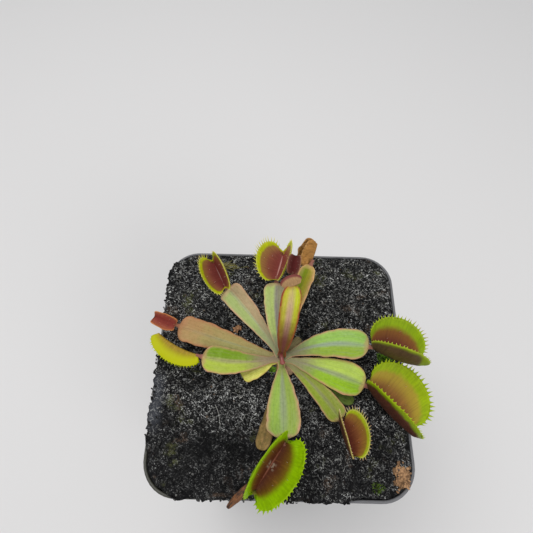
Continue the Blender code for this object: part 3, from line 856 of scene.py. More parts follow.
# Number, length, radius and lift of each kind in millimetres, then how far it bends and its grid.
FIBRES = (
    (4800, 0.85, 0.115, 0.10, 0.5, 3, 3),
    (460, 1.9, 0.09, 0.14, 1.0, 6, 4),
    (26, 5.0, 0.085, 0.2, 1.2, 9, 4),
)
STRANDS, STRAND_CORNERS = 16, ((-26, 37), (-19, 39))  # old moss strands, and where they lie, in millimetres


def fibre_shade(places, random):
    """Random shades, duller in patches and in the damp near side, paler in a dry patch left of the middle."""
    x, y = places[:, 0], places[:, 1]
    patch = 0.72 + 0.5 * lattice_noise(x, y, 9 * MM, 41) + 0.45 * lattice_noise(x, y, 2.6 * MM, 42)
    x, y = x / MM, y / MM
    patch = patch - 0.58 * np.clip((-20 - y) / 7, 0, 1) * np.clip((30 - x) / 24, 0.6, 1)
    patch = patch + 0.6 * np.exp(-(((x + 18) / 14) ** 2) - ((y + 15) / 6) ** 2)
    return random.uniform(0, 1, len(places)) ** 1.1 * np.clip(patch, 0.15, 1)


def make_fibres():
    """The kinds of fibres scattered all over, and the strands, nearly level and side by side."""
    random = np.random.default_rng(22)
    skin = Skin("shade")
    for number, long, thick, lift, bend, rows, columns in FIBRES:
        places = scatter(random, number, 1.9 * MM)
        count = len(places)
        length = long * random.uniform(0.5, 1.6, count) * MM
        radius = thick * random.uniform(0.6, 1.4, count) * MM
        heading, pitch = random.uniform(0, 2 * math.pi, count), random.normal(0.05, 0.22, count)
        made = hairs(places + [0, 0, lift * MM], heading, pitch, length, radius, random, rows, columns, bend)
        skin.add(made, shade=fibre_shade(places, random)[:, None, None])
    starts = random.uniform(*STRAND_CORNERS, (STRANDS, 2)) * MM
    starts = np.column_stack([starts, peat_height(*starts.T) + 0.3 * MM])
    heading, pitch = random.normal(0.1, 0.2, STRANDS), random.normal(0, 0.05, STRANDS)
    length, radius = random.uniform(3, 6.5, STRANDS) * MM, np.full(STRANDS, 0.17 * MM)
    skin.add(hairs(starts, heading, pitch, length, radius, random, 9, 5, 0.3), shade=1.5)
    settle(skin.make("peat_fibres", fibre_paint()), "soil")


make_fibres()


# %% [markdown]
# ## Leaves
#
# A flytrap's leaf is a flat, winged stalk that widens from the crown and ends in square shoulders, then a
# short neck, then the trap. A leaf could be a subdivided plane bent by hand. Here a path is carried out from
# the crown with an evenly changing heading and pitch, and a width along it gives the outline, so each leaf
# is one row of a table: heading and bend, pitch at the base and tip and roll at the tip in degrees, length
# and greatest width in millimetres, and three numbers for the outline.

# %% Leaf measures
BLADE_WORDS = "heading bend pitch tip_pitch length width widest shoulder grow roll".split()
BLADES = {
    "leaf_back_left": (131, 7, 32, 22, 28.0, 8.8, 0.92, 3.6, 1.3, -2),
    "leaf_back": (102, -14, 33, 23, 23.4, 8.8, 0.85, 3.3, 0.75, 0),
    "leaf_young": (78, 8, 63, 41, 26.7, 7.5, 0.78, 2.6, 0.6, 18),
    "leaf_small_trap": (82, 2, 47, 36, 26.4, 4.5, 0.78, 2.4, 1.0, 0),
    "leaf_dry_trap": (79, -16, 16, 30, 31.6, 6.6, 0.83, 2.7, 1.0, 5),
    "leaf_right": (18, -33, 26, 11, 28.0, 10.8, 0.79, 2.5, 1.05, 6),
    "leaf_right_large": (-18, -6, 17, 6, 26.6, 11.4, 0.80, 2.5, 1.15, 8),
    "leaf_front_right": (-40, -18, 12, 6, 25.5, 7.2, 0.88, 2.6, 1.3, 3),
    "leaf_front": (-88, -1, 20, 8, 25.0, 11.5, 0.80, 2.5, 0.95, 3),
    "leaf_left": (197, -27, 20, 12, 25.0, 9.7, 0.82, 2.4, 1.25, -6),
    "leaf_left_tan": (169, -5, 12, 10, 34.4, 9.8, 0.88, 2.6, 1.2, -6),
    "old_leaf_1": (206, 5, 6, 2, 11.6, 7.0, 0.74, 3.6, 0.9, 6),
    "old_leaf_2": (-97, -12, 6, 1, 28.0, 5.2, 0.85, 2.6, 1.6, -4),
    "leaf_stub_1": (45, 0, 20, 6, 6.0, 3.2, 0.70, 2.4, 0.8, 0),
    "leaf_stub_2": (-60, 0, 12, 4, 3.2, 1.9, 0.70, 2.4, 0.8, 0),
    "old_leaf_3": (-22, 0, 4, 4, 12.5, 4.6, 0.70, 2.4, 0.8, 0),
    "dry_scrap": (-142, 10, 3, 12, 9.0, 2.6, 0.40, 2.0, 0.8, 10),
}
LOOSE_STARTS = {"old_leaf_3": (14.0, -9.4, 121.9), "dry_scrap": (-9.6, -41.0, 121.9)}
START_GAP, SHEATH_LENGTH, SHEATH_SWELL = 0.35 * MM, 3.0 * MM, 0.5 * MM
BASE_WIDTH, NECK_WIDTH, NECK_THICK, NECK_LENGTH = 2.4 * MM, 1.8 * MM, 1.25 * MM, 1.6 * MM
CHANNEL = math.radians(12)  # how far the two halves of a blade tilt up from the midrib


print(len(BLADES), "blades, the longest", max(row[4] for row in BLADES.values()), "mm")


# %% Path and width of a blade
def named(words, values):
    """A table's row as a dictionary, with lengths in metres and angles in radians."""
    row = dict(zip(words, values))
    for word in row:
        if word in ("length", "width", "reach"):
            row[word] *= MM
        elif word not in ("widest", "shoulder", "grow", "full"):
            row[word] = math.radians(row[word])
    return row


class Blade:
    """A leaf's path from the crown and its width along it."""

    def __init__(self, name):
        self.row = named(BLADE_WORDS, BLADES[name])
        out = (CROWN_RADIUS + START_GAP) * directions(self.row["heading"], self.row["pitch"])
        self.start = np.array(LOOSE_STARTS[name]) * MM if name in LOOSE_STARTS else CROWN + out
        self.share = np.linspace(0, 1, 201)
        middles = (self.share[1:] + self.share[:-1]) / 2
        steps = self.way(middles) * self.row["length"] / len(middles)
        self.path = self.start + np.concatenate([np.zeros((1, 3)), np.cumsum(steps, axis=0)])

    def way(self, share):
        """The path's direction: heading and pitch change evenly from base to tip."""
        row, share = self.row, np.clip(share, 0, 1)
        return directions(row["heading"] + row["bend"] * share,
                          row["pitch"] + (row["tip_pitch"] - row["pitch"]) * share)

    def at(self, along):
        """The path at a distance along it, straight on beyond either end."""
        length = self.row["length"]
        share = np.clip(along / length, 0, 1)
        place = np.stack([np.interp(share, self.share, axis) for axis in self.path.T], axis=-1)
        return place + (along - share * length)[..., None] * self.way(share)

    def half_width(self, share):
        """A power of a sine up to the widest place, then a superellipse down to the neck."""
        row = self.row
        base = BASE_WIDTH / row["width"]
        rise = np.sin(np.pi / 2 * np.clip(share / row["widest"], 0, 1)) ** row["grow"]
        past = np.clip((share - row["widest"]) / (1 - row["widest"]), 0, 1)
        fall = (1 - past ** row["shoulder"]) ** (1 / row["shoulder"])
        return row["width"] / 2 * np.where(share < row["widest"], base + (1 - base) * rise, fall)

    def frame(self, share):
        """The side and up directions across the blade, which roll evenly from base to tip."""
        ahead = self.way(share)
        heading = np.arctan2(ahead[..., 1], ahead[..., 0])
        level = np.stack([-np.sin(heading), np.cos(heading), 0 * heading], axis=-1)
        roll = (self.row["roll"] * np.clip(share, 0, 1))[..., None]
        side = np.cos(roll) * level + np.sin(roll) * np.cross(ahead, level)
        return side, np.cross(ahead, side)


front_tip = Blade("leaf_front").path[-1]
print("the front leaf's blade ends at", (front_tip / MM).round(1), "mm")

# %% [markdown]
# ### A sheet with two faces
#
# A leaf isn't a plane: it has a rounded margin, a thick midrib and a thin wing. The sheet's middle surface
# is worked out first. Each point then moves half the local thickness along the surface's normal, up on the
# way out and down on the way back, so the grid runs right round the section and the skin is closed.
#
# Solidify could thicken a bent plane, but evenly. Here the outline, the lift over the path and the thickness
# are three functions of how far along and across the blade a point is.

# %% Sheets
def both_faces(upper, lower):
    """The columns of the upper face, then those of the lower one back again, sharing the two margins."""
    return np.concatenate([upper, lower[:, -2:0:-1]], axis=1)


def normals(sheet):
    """The direction square to a sheet (rows, columns, 3) at each of its points."""
    return unit(np.cross(np.gradient(sheet, axis=0), np.gradient(sheet, axis=1)))


def slab(middle, thickness):
    """A sheet made a closed skin, by half the thickness to each side of it."""
    half = thickness[..., None] / 2 * normals(middle)
    return both_faces(middle + half, middle - half)


def slab_marks(shape, **marks):
    """Marks that both faces share, and inner, which is 1 on the upper face and 0 on the lower one."""
    marks = {word: np.broadcast_to(values, shape) for word, values in marks.items()}
    marks = {word: both_faces(values, values) for word, values in marks.items()}
    return {**marks, "inner": both_faces(np.ones(shape), np.zeros(shape))}


def round_spread(count, soft=1.0):
    """From -1 to 1, closer together at both ends, as the cosine of evenly spaced angles is."""
    even = np.linspace(-1, 1, count)
    return (1 - soft) * even + soft * np.sin(even * np.pi / 2)


print("sheets close round their margins:", both_faces(np.zeros((2, 5)), np.zeros((2, 5))).shape)


# %% Outline, lift and thickness of a blade
def name_seed(name):
    """A seed of its own for each piece, from the letters of its name."""
    return sum(map(ord, name))


def blade_outline(blade, along, across, uneven, seed, necked):
    """Half the width: the path's own, a sheath that swells below its start, a neck, and uneven margins."""
    length, widest = blade.row["length"], blade.row["widest"]
    share = along / length
    half = blade.half_width(np.clip(share, 0, 1)) + np.clip(-along / SHEATH_LENGTH, 0, 1) * SHEATH_SWELL
    if necked:
        neck = NECK_WIDTH / 2 * (0.62 + 0.38 * np.exp(-((along - length) / (0.7 * MM)) ** 2))
        half = np.where(share < widest, half, np.maximum(half, neck))
    ragged = lattice_noise(along + 9 * MM, np.sign(across) * 7 * MM, 1.5 * MM, seed + 5)
    return half * (1 + 0.055 * ragged * (half > 1.4 * MM) * uneven)


def blade_lift(along, across, half, wave, crinkle, seed):
    """How high the sheet stands over its path: raised halves, slow waves, veins and crinkled margins."""
    outer = np.abs(across)
    tilt = (np.sqrt(across**2 + 0.04) - 0.2) * math.sin(CHANNEL) * half
    slow = lattice_noise(along, across * half * 0.6 + 3 * MM, 6.5 * MM, seed) * wave
    quick = lattice_noise(along, np.sign(across) * 5 * MM, 2.2 * MM, seed + 1) * crinkle
    veins = 0.03 * np.cos(across * np.pi * 9)
    return tilt, half / half.max() * (slow * outer + veins + quick * outer**4) * MM


def blade_thickness(share, across, half, thick, necked):
    """Thick along the midrib and in the neck, thinner where the blade is narrow, rounded at the margins."""
    outer = np.abs(across)
    ridge = 1 + 1.1 * np.exp(-(across * half / (0.75 * MM)) ** 2)
    narrow = 0.75 + 0.25 * np.clip(half / (2.6 * MM), 0, 1)
    thickness = thick * MM * ridge * narrow * np.sqrt(np.clip(1 - outer**8, 0, 1))
    if necked:
        neck = NECK_THICK * np.sqrt(1 - outer**2)
        thickness = np.where(share > 0.985, np.maximum(thickness, neck), thickness)
    return thickness


print("seeds:", {name: name_seed(name) for name in ("leaf_front", "leaf_back")})


# %% Skin of a blade
def blade_skin(skin, blade, name, wave=0.28, crinkle=0.25, thick=0.62, rows=110, columns=30, necked=True):
    """The blade of a leaf, from its sheathing base in the crown to the neck behind its trap.

    Marks: along and across the blade, and which face. wave and crinkle, in millimetres, are how far the
    wings and their margins undulate, and thick is the thickness.
    """
    seed, length = name_seed(name), blade.row["length"]
    low = 0.0 if name in LOOSE_STARTS else -SHEATH_LENGTH
    high = length + (NECK_LENGTH + 0.9 * MM if necked else 0)
    along = low + (high - low) * (round_spread(rows, 0.55)[:, None] + 1) / 2
    across, share = round_spread(columns)[None], along / length
    half = blade_outline(blade, along, across, 1 if crinkle > 0.2 else 0.5, seed, necked)
    tilt, ripple = blade_lift(along, across, half, wave, crinkle, seed)
    side, up = blade.frame(share[:, 0])
    middle = blade.at(along[:, 0])[:, None] + (across * math.cos(CHANNEL) * half)[..., None] * side[:, None]
    middle = middle + (tilt + ripple * (share > 0.12))[..., None] * up[:, None]
    ends = np.clip(np.minimum(along - low, high - along) / (0.25 * MM), 0, 1) ** 0.5
    points = slab(middle, blade_thickness(share, across, half, thick, necked) * ends)
    skin.add(points, **slab_marks((rows, columns), along=share, across=across))


print("blades ready to grow:", len(BLADES))

# %% [markdown]
# ### Colour of the blades
#
# Each blade is a blend of a few tints placed by the marks: a different green on either side of the midrib,
# a greyer band over the midrib, a brown base, and a thin rosy margin. Long streaks follow the veins, and
# soft blotches break up the rest. The top has a satin skin, and the underside is paler.

# %% Finish of the blades
def blade_paint(name, left, right, rib, margin, base, rib_width=0.28, margin_width=0.10, base_length=0.34,
                tan=0.0, speckle=0.14):
    """Tints placed by the marks. left and right are as seen along the leaf from its base, looking down."""
    paint = Paint(f"{name}_blade", specular_ior_level=0.2)
    along, across, upper = paint.mark("along"), paint.mark("across"), paint.mark("inner")
    spot = paint.place()
    blotch = paint.noise(spot, 0.35, 4.0, 0.6)
    cells = paint.noise(spot, 3.4, 2.0, 0.6)
    streak = paint.noise(paint.vector(across * 9.0, along * 2.2, 3.7), 1.6, 4.0, 0.6, 0.3)
    veins = paint.noise(paint.vector(across * 26.0, along * 3.0, 1.3), 1.0, 2.0, 0.5)
    halves = paint.mix((across + (blotch - 0.5) * 0.9).rise(-0.26, 0.26), right, left)
    fresh = paint.mix(streak.rise(0.42, 0.7) * 0.28, halves, rib)
    pale = paint.mix(blotch.rise(0.5, 0.75) * 0.6, fresh, (66, 66, 50), "ADD")
    width = abs(across) + (streak - 0.5) * 0.35
    centre = width.rise(rib_width, rib_width * 0.25) * along.rise(1.25, 0.55)
    ribbed = paint.mix(centre * 0.85, pale, rib)
    line = abs(across).rise(0.07, 0.0) * (streak.rise(0.3, 0.6) * 0.6 + 0.4)
    ribbed = paint.mix(line * 0.35, ribbed, scaled(rib, 0.72))
    root = (along + (blotch - 0.5) * 0.25 + (streak - 0.5) * 0.2).rise(base_length, base_length * 0.15)
    rooted = paint.mix(root * 0.9, ribbed, base)
    edge = abs(across) + (blotch - 0.5) * 0.10 + (cells - 0.5) * 0.04
    blush = edge.rise(1 - margin_width * 2.6, 1.0) * 0.55
    rim = edge.rise(1 - margin_width, 1 - margin_width * 0.35) * (0.35 + 0.65 * blotch.rise(0.38, 0.58))
    tip = (along + (blotch - 0.5) * 0.1).rise(0.93, 0.99) * 0.7
    soft = paint.mix(blush.math("MAXIMUM", tip * 0.5), rooted, margin)
    edged = paint.mix(rim.math("MAXIMUM", tip * 0.6), soft, margin)
    necked = paint.mix(along.rise(0.99, 1.01), edged, (150, 98, 84))
    if tan:
        dry = (blotch * 0.6 + along - 0.4).rise(0.35, 0.85) * tan
        necked = paint.mix(dry, necked, margin)
    dots = cells.rise(0.62, 0.74) * speckle
    dotted = paint.mix(dots, necked, scaled(base, 0.74))
    mottle = paint.noise(spot, 1.1, 3.0, 0.65)
    shaded = paint.mix(mottle.rise(0.48, 0.66) * 0.3, dotted, (206, 212, 190), "MULTIPLY")
    shaded = paint.mix(veins.rise(0.5, 0.64) * 0.35, shaded, (208, 210, 200), "MULTIPLY")
    glints = paint.mix(mottle.rise(0.46, 0.34) * cells.rise(0.45, 0.6) * 0.35, shaded, (84, 84, 66), "ADD")
    under = paint.mix(0.45, glints, (150, 158, 118))
    paint.set("Base Color", paint.mix(upper.rise(0.4, 0.6), under, glints))
    paint.set("Roughness", 0.40 + blotch * 0.14 + (1 - upper) * 0.12 + root * 0.1)
    paint.bump(veins * 0.7 + cells * 0.5 + streak * 0.4 + mottle * 0.8, 0.13 * MM)
    return paint


print("blade finish ready")

# %% Tints of the blades
# Left half, right half, midrib, margin, base.
BLADE_TINTS = {
    "leaf_back_left": ((160, 176, 104), (170, 146, 110), (168, 172, 132), (196, 156, 124), (142, 144, 108)),
    "leaf_back": ((192, 212, 120), (160, 156, 124), (156, 146, 146), (200, 162, 128), (148, 146, 122)),
    "leaf_young": ((194, 192, 32), (190, 200, 0), (204, 162, 146), (148, 64, 40), (94, 26, 32)),
    "leaf_small_trap": ((128, 106, 40), (132, 122, 34), (146, 110, 62), (150, 82, 48), (98, 62, 44)),
    "leaf_dry_trap": ((118, 138, 0), (152, 146, 30), (132, 136, 30), (214, 168, 118), (116, 100, 60)),
    "leaf_right": ((144, 184, 76), (138, 166, 42), (146, 160, 140), (186, 138, 106), (126, 118, 94)),
    "leaf_right_large": ((174, 198, 78), (138, 178, 0), (146, 154, 116), (184, 140, 100), (138, 130, 102)),
    "leaf_front_right": ((134, 146, 46), (136, 154, 34), (140, 140, 92), (182, 142, 104), (130, 124, 84)),
    "leaf_front": ((140, 162, 62), (144, 174, 68), (142, 152, 118), (188, 146, 114), (140, 146, 82)),
    "leaf_left": ((164, 182, 60), (108, 142, 0), (160, 154, 106), (188, 140, 108), (146, 126, 106)),
    "leaf_left_tan": ((162, 154, 92), (160, 142, 86), (156, 154, 108), (172, 118, 82), (148, 138, 90)),
}
# What differs from the usual widths of the midrib and margin, length of the base, dryness and speckles.
BLADE_SHAPES = {
    "leaf_young": dict(rib_width=0.55, margin_width=0.16, base_length=0.82, speckle=0.45),
    "leaf_left_tan": dict(margin_width=0.14, tan=0.55, rib_width=0.2, speckle=0.6),
    "leaf_dry_trap": dict(margin_width=0.3, speckle=0.5),
    "leaf_small_trap": dict(margin_width=0.22, base_length=0.6),
    "leaf_back_left": dict(rib_width=0.2, margin_width=0.12, base_length=0.5),
    "leaf_front": dict(base_length=0.2, rib_width=0.36, margin_width=0.14),
    "leaf_right": dict(base_length=0.46),
    "leaf_right_large": dict(base_length=0.5),
    "leaf_left": dict(base_length=0.5),
    "leaf_front_right": dict(rib_width=0.34),
}
# What differs from the usual waves, crinkles and thickness, in millimetres.
BLADE_FORMS = {
    "leaf_left_tan": dict(wave=0.45, crinkle=0.7),
    "leaf_dry_trap": dict(wave=0.5, crinkle=0.9),
    "leaf_young": dict(wave=0.15, crinkle=0.12, thick=0.8),
    "leaf_back_left": dict(wave=0.3, crinkle=0.3),
}
print(len(BLADE_TINTS), "blade finishes")

# %% [markdown]
# ### Traps
#
# A trap is two lobes hinged on the leaf's midrib. Each lobe is an arc that starts wide open and curls in
# towards the mouth, carried outwards along lines that fan out from the hinge. Both lobes are one sheet, as
# on the plant. The margin carries a comb of stiff teeth, and the inner face three trigger hairs a side.

# %% Trap measures
TRAP_WORDS = "heading pitch roll open lean length reach curl fan full".split()
TRAPS = {  # angles in degrees, the hinge's length and the lobes' reach in millimetres
    "leaf_back_left": (118, 14, 17, 46, 0, 9.0, 10.5, 21, 71, 0.52),
    "leaf_back": (77, -8, 19, 70, 1, 11.0, 11.3, 21, 79, 0.57),
    "leaf_small_trap": (80, 22, 2, 50, 0, 6.4, 5.3, 20, 8, 0.26),
    "leaf_right": (-18, -11, 34, 74, 1, 14.6, 14.1, 19, 61, 0.60),
    "leaf_right_large": (-45, -14, 31, 85, 6, 17.6, 16.2, 19, 66, 0.63),
    "leaf_front_right": (-80, 19, 18, 49, -4, 10.2, 10.0, 21, 82, 0.60),
    "leaf_front": (-124, -5, 12, 61, 7, 15.5, 12.6, 22, 87, 0.54),
    "leaf_left": (154, 7, 99, 33, 4, 16.2, 5.7, 20, 76, 0.55),
    "leaf_left_tan": (163, 14, 17, 44, 2, 7.8, 6.5, 20, 8, 0.15),
    "leaf_young": (18, 12, 62, 14, 0, 6.0, 3.8, 30, 60, 0.60),
    "leaf_dry_trap": (68, 36, 60, 34, 0, 8.6, 5.6, 30, 44, 0.40),
}
LOBE_ENDS = 0.30  # a lobe's reach at the ends of its hinge, as a share of its full reach
HINGE_SAG, HINGE_SAGS = 0.05, {"leaf_left": -0.06}  # of the hinge's length
# The middle of a shut trap, beyond the blade's tip, in millimetres.
POD_OFFSETS = {"leaf_young": (-0.7, 1.4, 1.3), "leaf_dry_trap": (-1.9, 4.6, 2.2)}


print(len(TRAPS), "traps, the longest", max(row[5] for row in TRAPS.values()), "mm")


# %% Shape of a trap
class Trap:
    """The two lobes of a trap whose hinge starts at root."""

    def __init__(self, name, blade):
        self.row = row = named(TRAP_WORDS, TRAPS[name])
        self.sag = HINGE_SAGS.get(name, HINGE_SAG)
        self.ahead = directions(row["heading"], row["pitch"])
        level = np.array([-math.sin(row["heading"]), math.cos(row["heading"]), 0])
        self.mouth = math.cos(row["roll"]) * np.cross(self.ahead, level) + math.sin(row["roll"]) * level
        self.left = np.cross(self.mouth, self.ahead)
        tip = blade.at(np.array(blade.row["length"]))
        self.root = tip + NECK_LENGTH * blade.way(np.array(1.0))
        if name in POD_OFFSETS:
            middle = tip + np.array(POD_OFFSETS[name]) * MM
            self.root = middle - row["length"] / 2 * self.ahead - row["reach"] / 2 * self.mouth

    def reach(self, along):
        """A lobe's reach from the hinge: a power of a sine on top of its reach at the ends."""
        bow = np.sin(np.pi * np.clip(along, 0, 1)) ** self.row["full"]
        return self.row["reach"] * (LOBE_ENDS + (1 - LOBE_ENDS) * bow)

    def at(self, along, across):
        """Places on the sheet: across is 0 at the hinge and 1 or -1 at the left and right margins.

        Each lobe's section is an arc that turns by twice its curl, from its first angle to its last. The
        arc is scaled by the reach and leans along the hinge by an angle that grows towards both ends.
        """
        row = self.row
        along, across = np.broadcast_arrays(along, across)
        lobe, out = np.where(across < 0, -1.0, 1.0), np.abs(across)
        first = row["open"] / 2 + lobe * row["lean"] + row["curl"]
        last = first - 2 * row["curl"] * out
        towards_mouth = (np.sin(first) - np.sin(last)) / (2 * row["curl"])
        sideways = lobe * (np.cos(last) - np.cos(first)) / (2 * row["curl"])
        fan = row["fan"] * (along - 0.5)
        sag = self.sag * row["length"] * 4 * along * (1 - along)
        spine = self.root + (along * row["length"])[..., None] * self.ahead - sag[..., None] * self.mouth
        section = towards_mouth[..., None] * self.mouth + sideways[..., None] * self.left
        lobes = np.cos(fan)[..., None] * section + (np.sin(fan) * out)[..., None] * self.ahead
        return spine + self.reach(along)[..., None] * lobes

    def inset(self, along, out):
        """How far a place lies inside the outline, as a share of the reach.

        It is the lesser of the distances to the margin and to the ends. The margin's counts for more where
        the lobe is short, and the ends' not at all close to the hinge, so the flesh runs on to both ends.
        """
        to_margin = (1 - out) * (0.5 + 0.5 * self.reach(along) / self.row["reach"])
        to_ends = np.minimum(along, 1 - along) * self.row["length"] / self.row["reach"]
        return np.minimum(to_margin, 1.3 * to_ends + 0.9 * (1 - out) ** 1.5 + 0.05)


front_mouth = Trap("leaf_front", Blade("leaf_front")).mouth
print("the front trap's mouth faces", front_mouth.round(2))


# %% Spikes
def spikes(roots, ahead, wide, length, half_width, half_thick, lean, rings=6, sides=6, power=1.0):
    """Tapered spikes from roots: ellipses whose half-axes shrink as a power of the share still to go.

    lean is a vector, in shares of the length, that bends each spike by the square of the share gone.
    """
    share = np.linspace(0, 1, rings)[None, :, None]
    thin = unit(np.cross(ahead, wide))
    bent = share * ahead[:, None] + share**2 * np.reshape(lean, (-1, 1, 3))
    middle = roots[:, None] + np.reshape(length, (-1, 1, 1)) * bent
    shrink = np.clip((1 - share) ** power, 0.03, 1)
    return ring_round(middle, shrink * half_width * wide[:, None], shrink * half_thick * thin[:, None], sides)


print("a spike has", 6 * 6, "points")


# %% Lobes
def lobe_skin(skin, trap, thick=0.5, rumple=0.12, rows=84, columns=61, seed=1):
    """Both lobes as one sheet, thick along the hinge and rounded at the margin.

    thick is the thickness and rumple the height of its bumps, in millimetres.
    """
    along = (round_spread(rows, 0.75)[:, None] + 1) / 2 + np.zeros((1, columns))
    across = round_spread(columns, 0.65)[None] + np.zeros((rows, 1))
    middle, out = trap.at(along, across), np.abs(across)
    place = (along * trap.row["length"], across * trap.row["reach"])
    bumps = lattice_noise(*place, 3.2 * MM, seed) + 0.4 * lattice_noise(*place, 1.1 * MM, seed + 50)
    bumps = bumps * rumple
    ribs = 0.05 * np.cos(along * 2 * np.pi * 13) * np.clip(out * 3, 0, 1) * (1 - out)
    middle = middle + normals(middle) * ((bumps * out + ribs) * MM)[..., None]
    body = 0.8 + 0.9 * np.exp(-(out / 0.13) ** 2) + 0.25 * np.exp(-((out - 0.55) / 0.3) ** 2)
    rounded = np.sqrt(np.clip(1 - out**14, 0, 1))
    ends = np.clip(np.minimum(along, 1 - along) / 0.02, 0, 1) ** 0.5
    marks = slab_marks((rows, columns), along=along, across=across, inset=trap.inset(along, out))
    skin.add(slab(middle, thick * MM * body * rounded * ends), finish=1, **marks)


print("pairs of lobes ready to grow:", len(TRAPS))


# %% Teeth
TOOTH_THICK, TOOTH_ROOT = 0.34 * MM, 0.35 * MM  # the root is the part inside the lobe


def teeth_skin(skin, trap, count, length, width, slim, bends, right, random):
    """A comb of teeth on each margin, evenly spaced along it.

    bends says how far the right and left lobes' teeth bend in, or out when negative. right is the length
    of the right lobe's teeth as a share of the left lobe's.
    """
    fine = np.linspace(0, 1, 400)
    for lobe, share, inward in ((-1.0, right, bends[0]), (1.0, 1.0, bends[1])):
        gone = np.linalg.norm(np.diff(trap.at(fine, lobe), axis=0), axis=1)
        gone = np.concatenate([[0], np.cumsum(gone)])
        spots = (np.arange(count) + 0.5 + random.uniform(-0.16, 0.16, count)) / count * gone[-1]
        along = np.interp(spots, gone, fine)
        edge, behind = trap.at(along, lobe), trap.at(along, lobe * 0.94)
        before, after = (trap.at(np.clip(along + step, 0, 1), lobe) for step in (-0.004, 0.004))
        wide, ahead = unit(after - before), unit(edge - behind)
        ahead = unit(ahead - 0.75 * np.sum(ahead * wide, axis=1, keepdims=True) * wide)
        normal = unit(np.cross(wide, ahead))
        facing = np.sign(np.sum(normal * -(lobe * trap.left), axis=1, keepdims=True))
        strays = random.normal(0, 0.10, (count, 1)) * wide + random.normal(0, 0.06, (count, 1)) * normal
        ahead = unit(ahead + strays)
        bow = 0.66 + 0.25 * np.sin(np.pi * along) + 0.25 * along
        long = length * share * bow * random.uniform(0.75, 1.2, count) * MM
        made = spikes(edge - TOOTH_ROOT * ahead, ahead, wide, long + TOOTH_ROOT, width / 2 * MM,
                      TOOTH_THICK / 2, inward * facing * normal, power=slim)
        reached = np.linspace(0, 1, made.shape[1])[None, :, None]
        skin.add(made, finish=1, along=along[:, None, None], across=lobe, inset=-0.12 * reached, inner=0.5)


print("teeth ready, rooted", TOOTH_ROOT / MM, "mm deep")


# %% Trigger hairs
TRIGGER_LENGTH, TRIGGER_RADIUS = 1.3, 0.07 * MM  # the length in millimetres, less in a small trap


def trigger_skin(skin, trap):
    """Three trigger hairs on the inner face of each lobe, at the corners of a triangle."""
    along = np.array([0.33, 0.67, 0.5] * 2)
    across = np.array([0.42, 0.42, 0.66, -0.42, -0.42, -0.66])
    roots = trap.at(along, across)
    ahead = unit(trap.mouth - 0.9 * np.sign(across)[:, None] * trap.left)
    wide = np.broadcast_to(trap.ahead, roots.shape)
    long = min(TRIGGER_LENGTH, trap.row["reach"] / MM * 0.11) * MM
    made = spikes(roots, ahead, wide, long, TRIGGER_RADIUS, TRIGGER_RADIUS, np.zeros(3), power=0.7)
    skin.add(made, finish=1, along=along[:, None, None], across=across[:, None, None], inset=2.0, inner=1.0)


print("trigger hairs ready,", TRIGGER_LENGTH, "mm at most")

# %% [markdown]
# ### Colour of the traps
#
# A trap is painted by how far each place lies inside its outline: a lime rim, a soft change, then the red
# brown flesh, darkest at the hinge, with fine veins that fan out to the margin and a dust of tiny glands.
# The outer face has its own colours. The teeth go from lime to a paler tip.

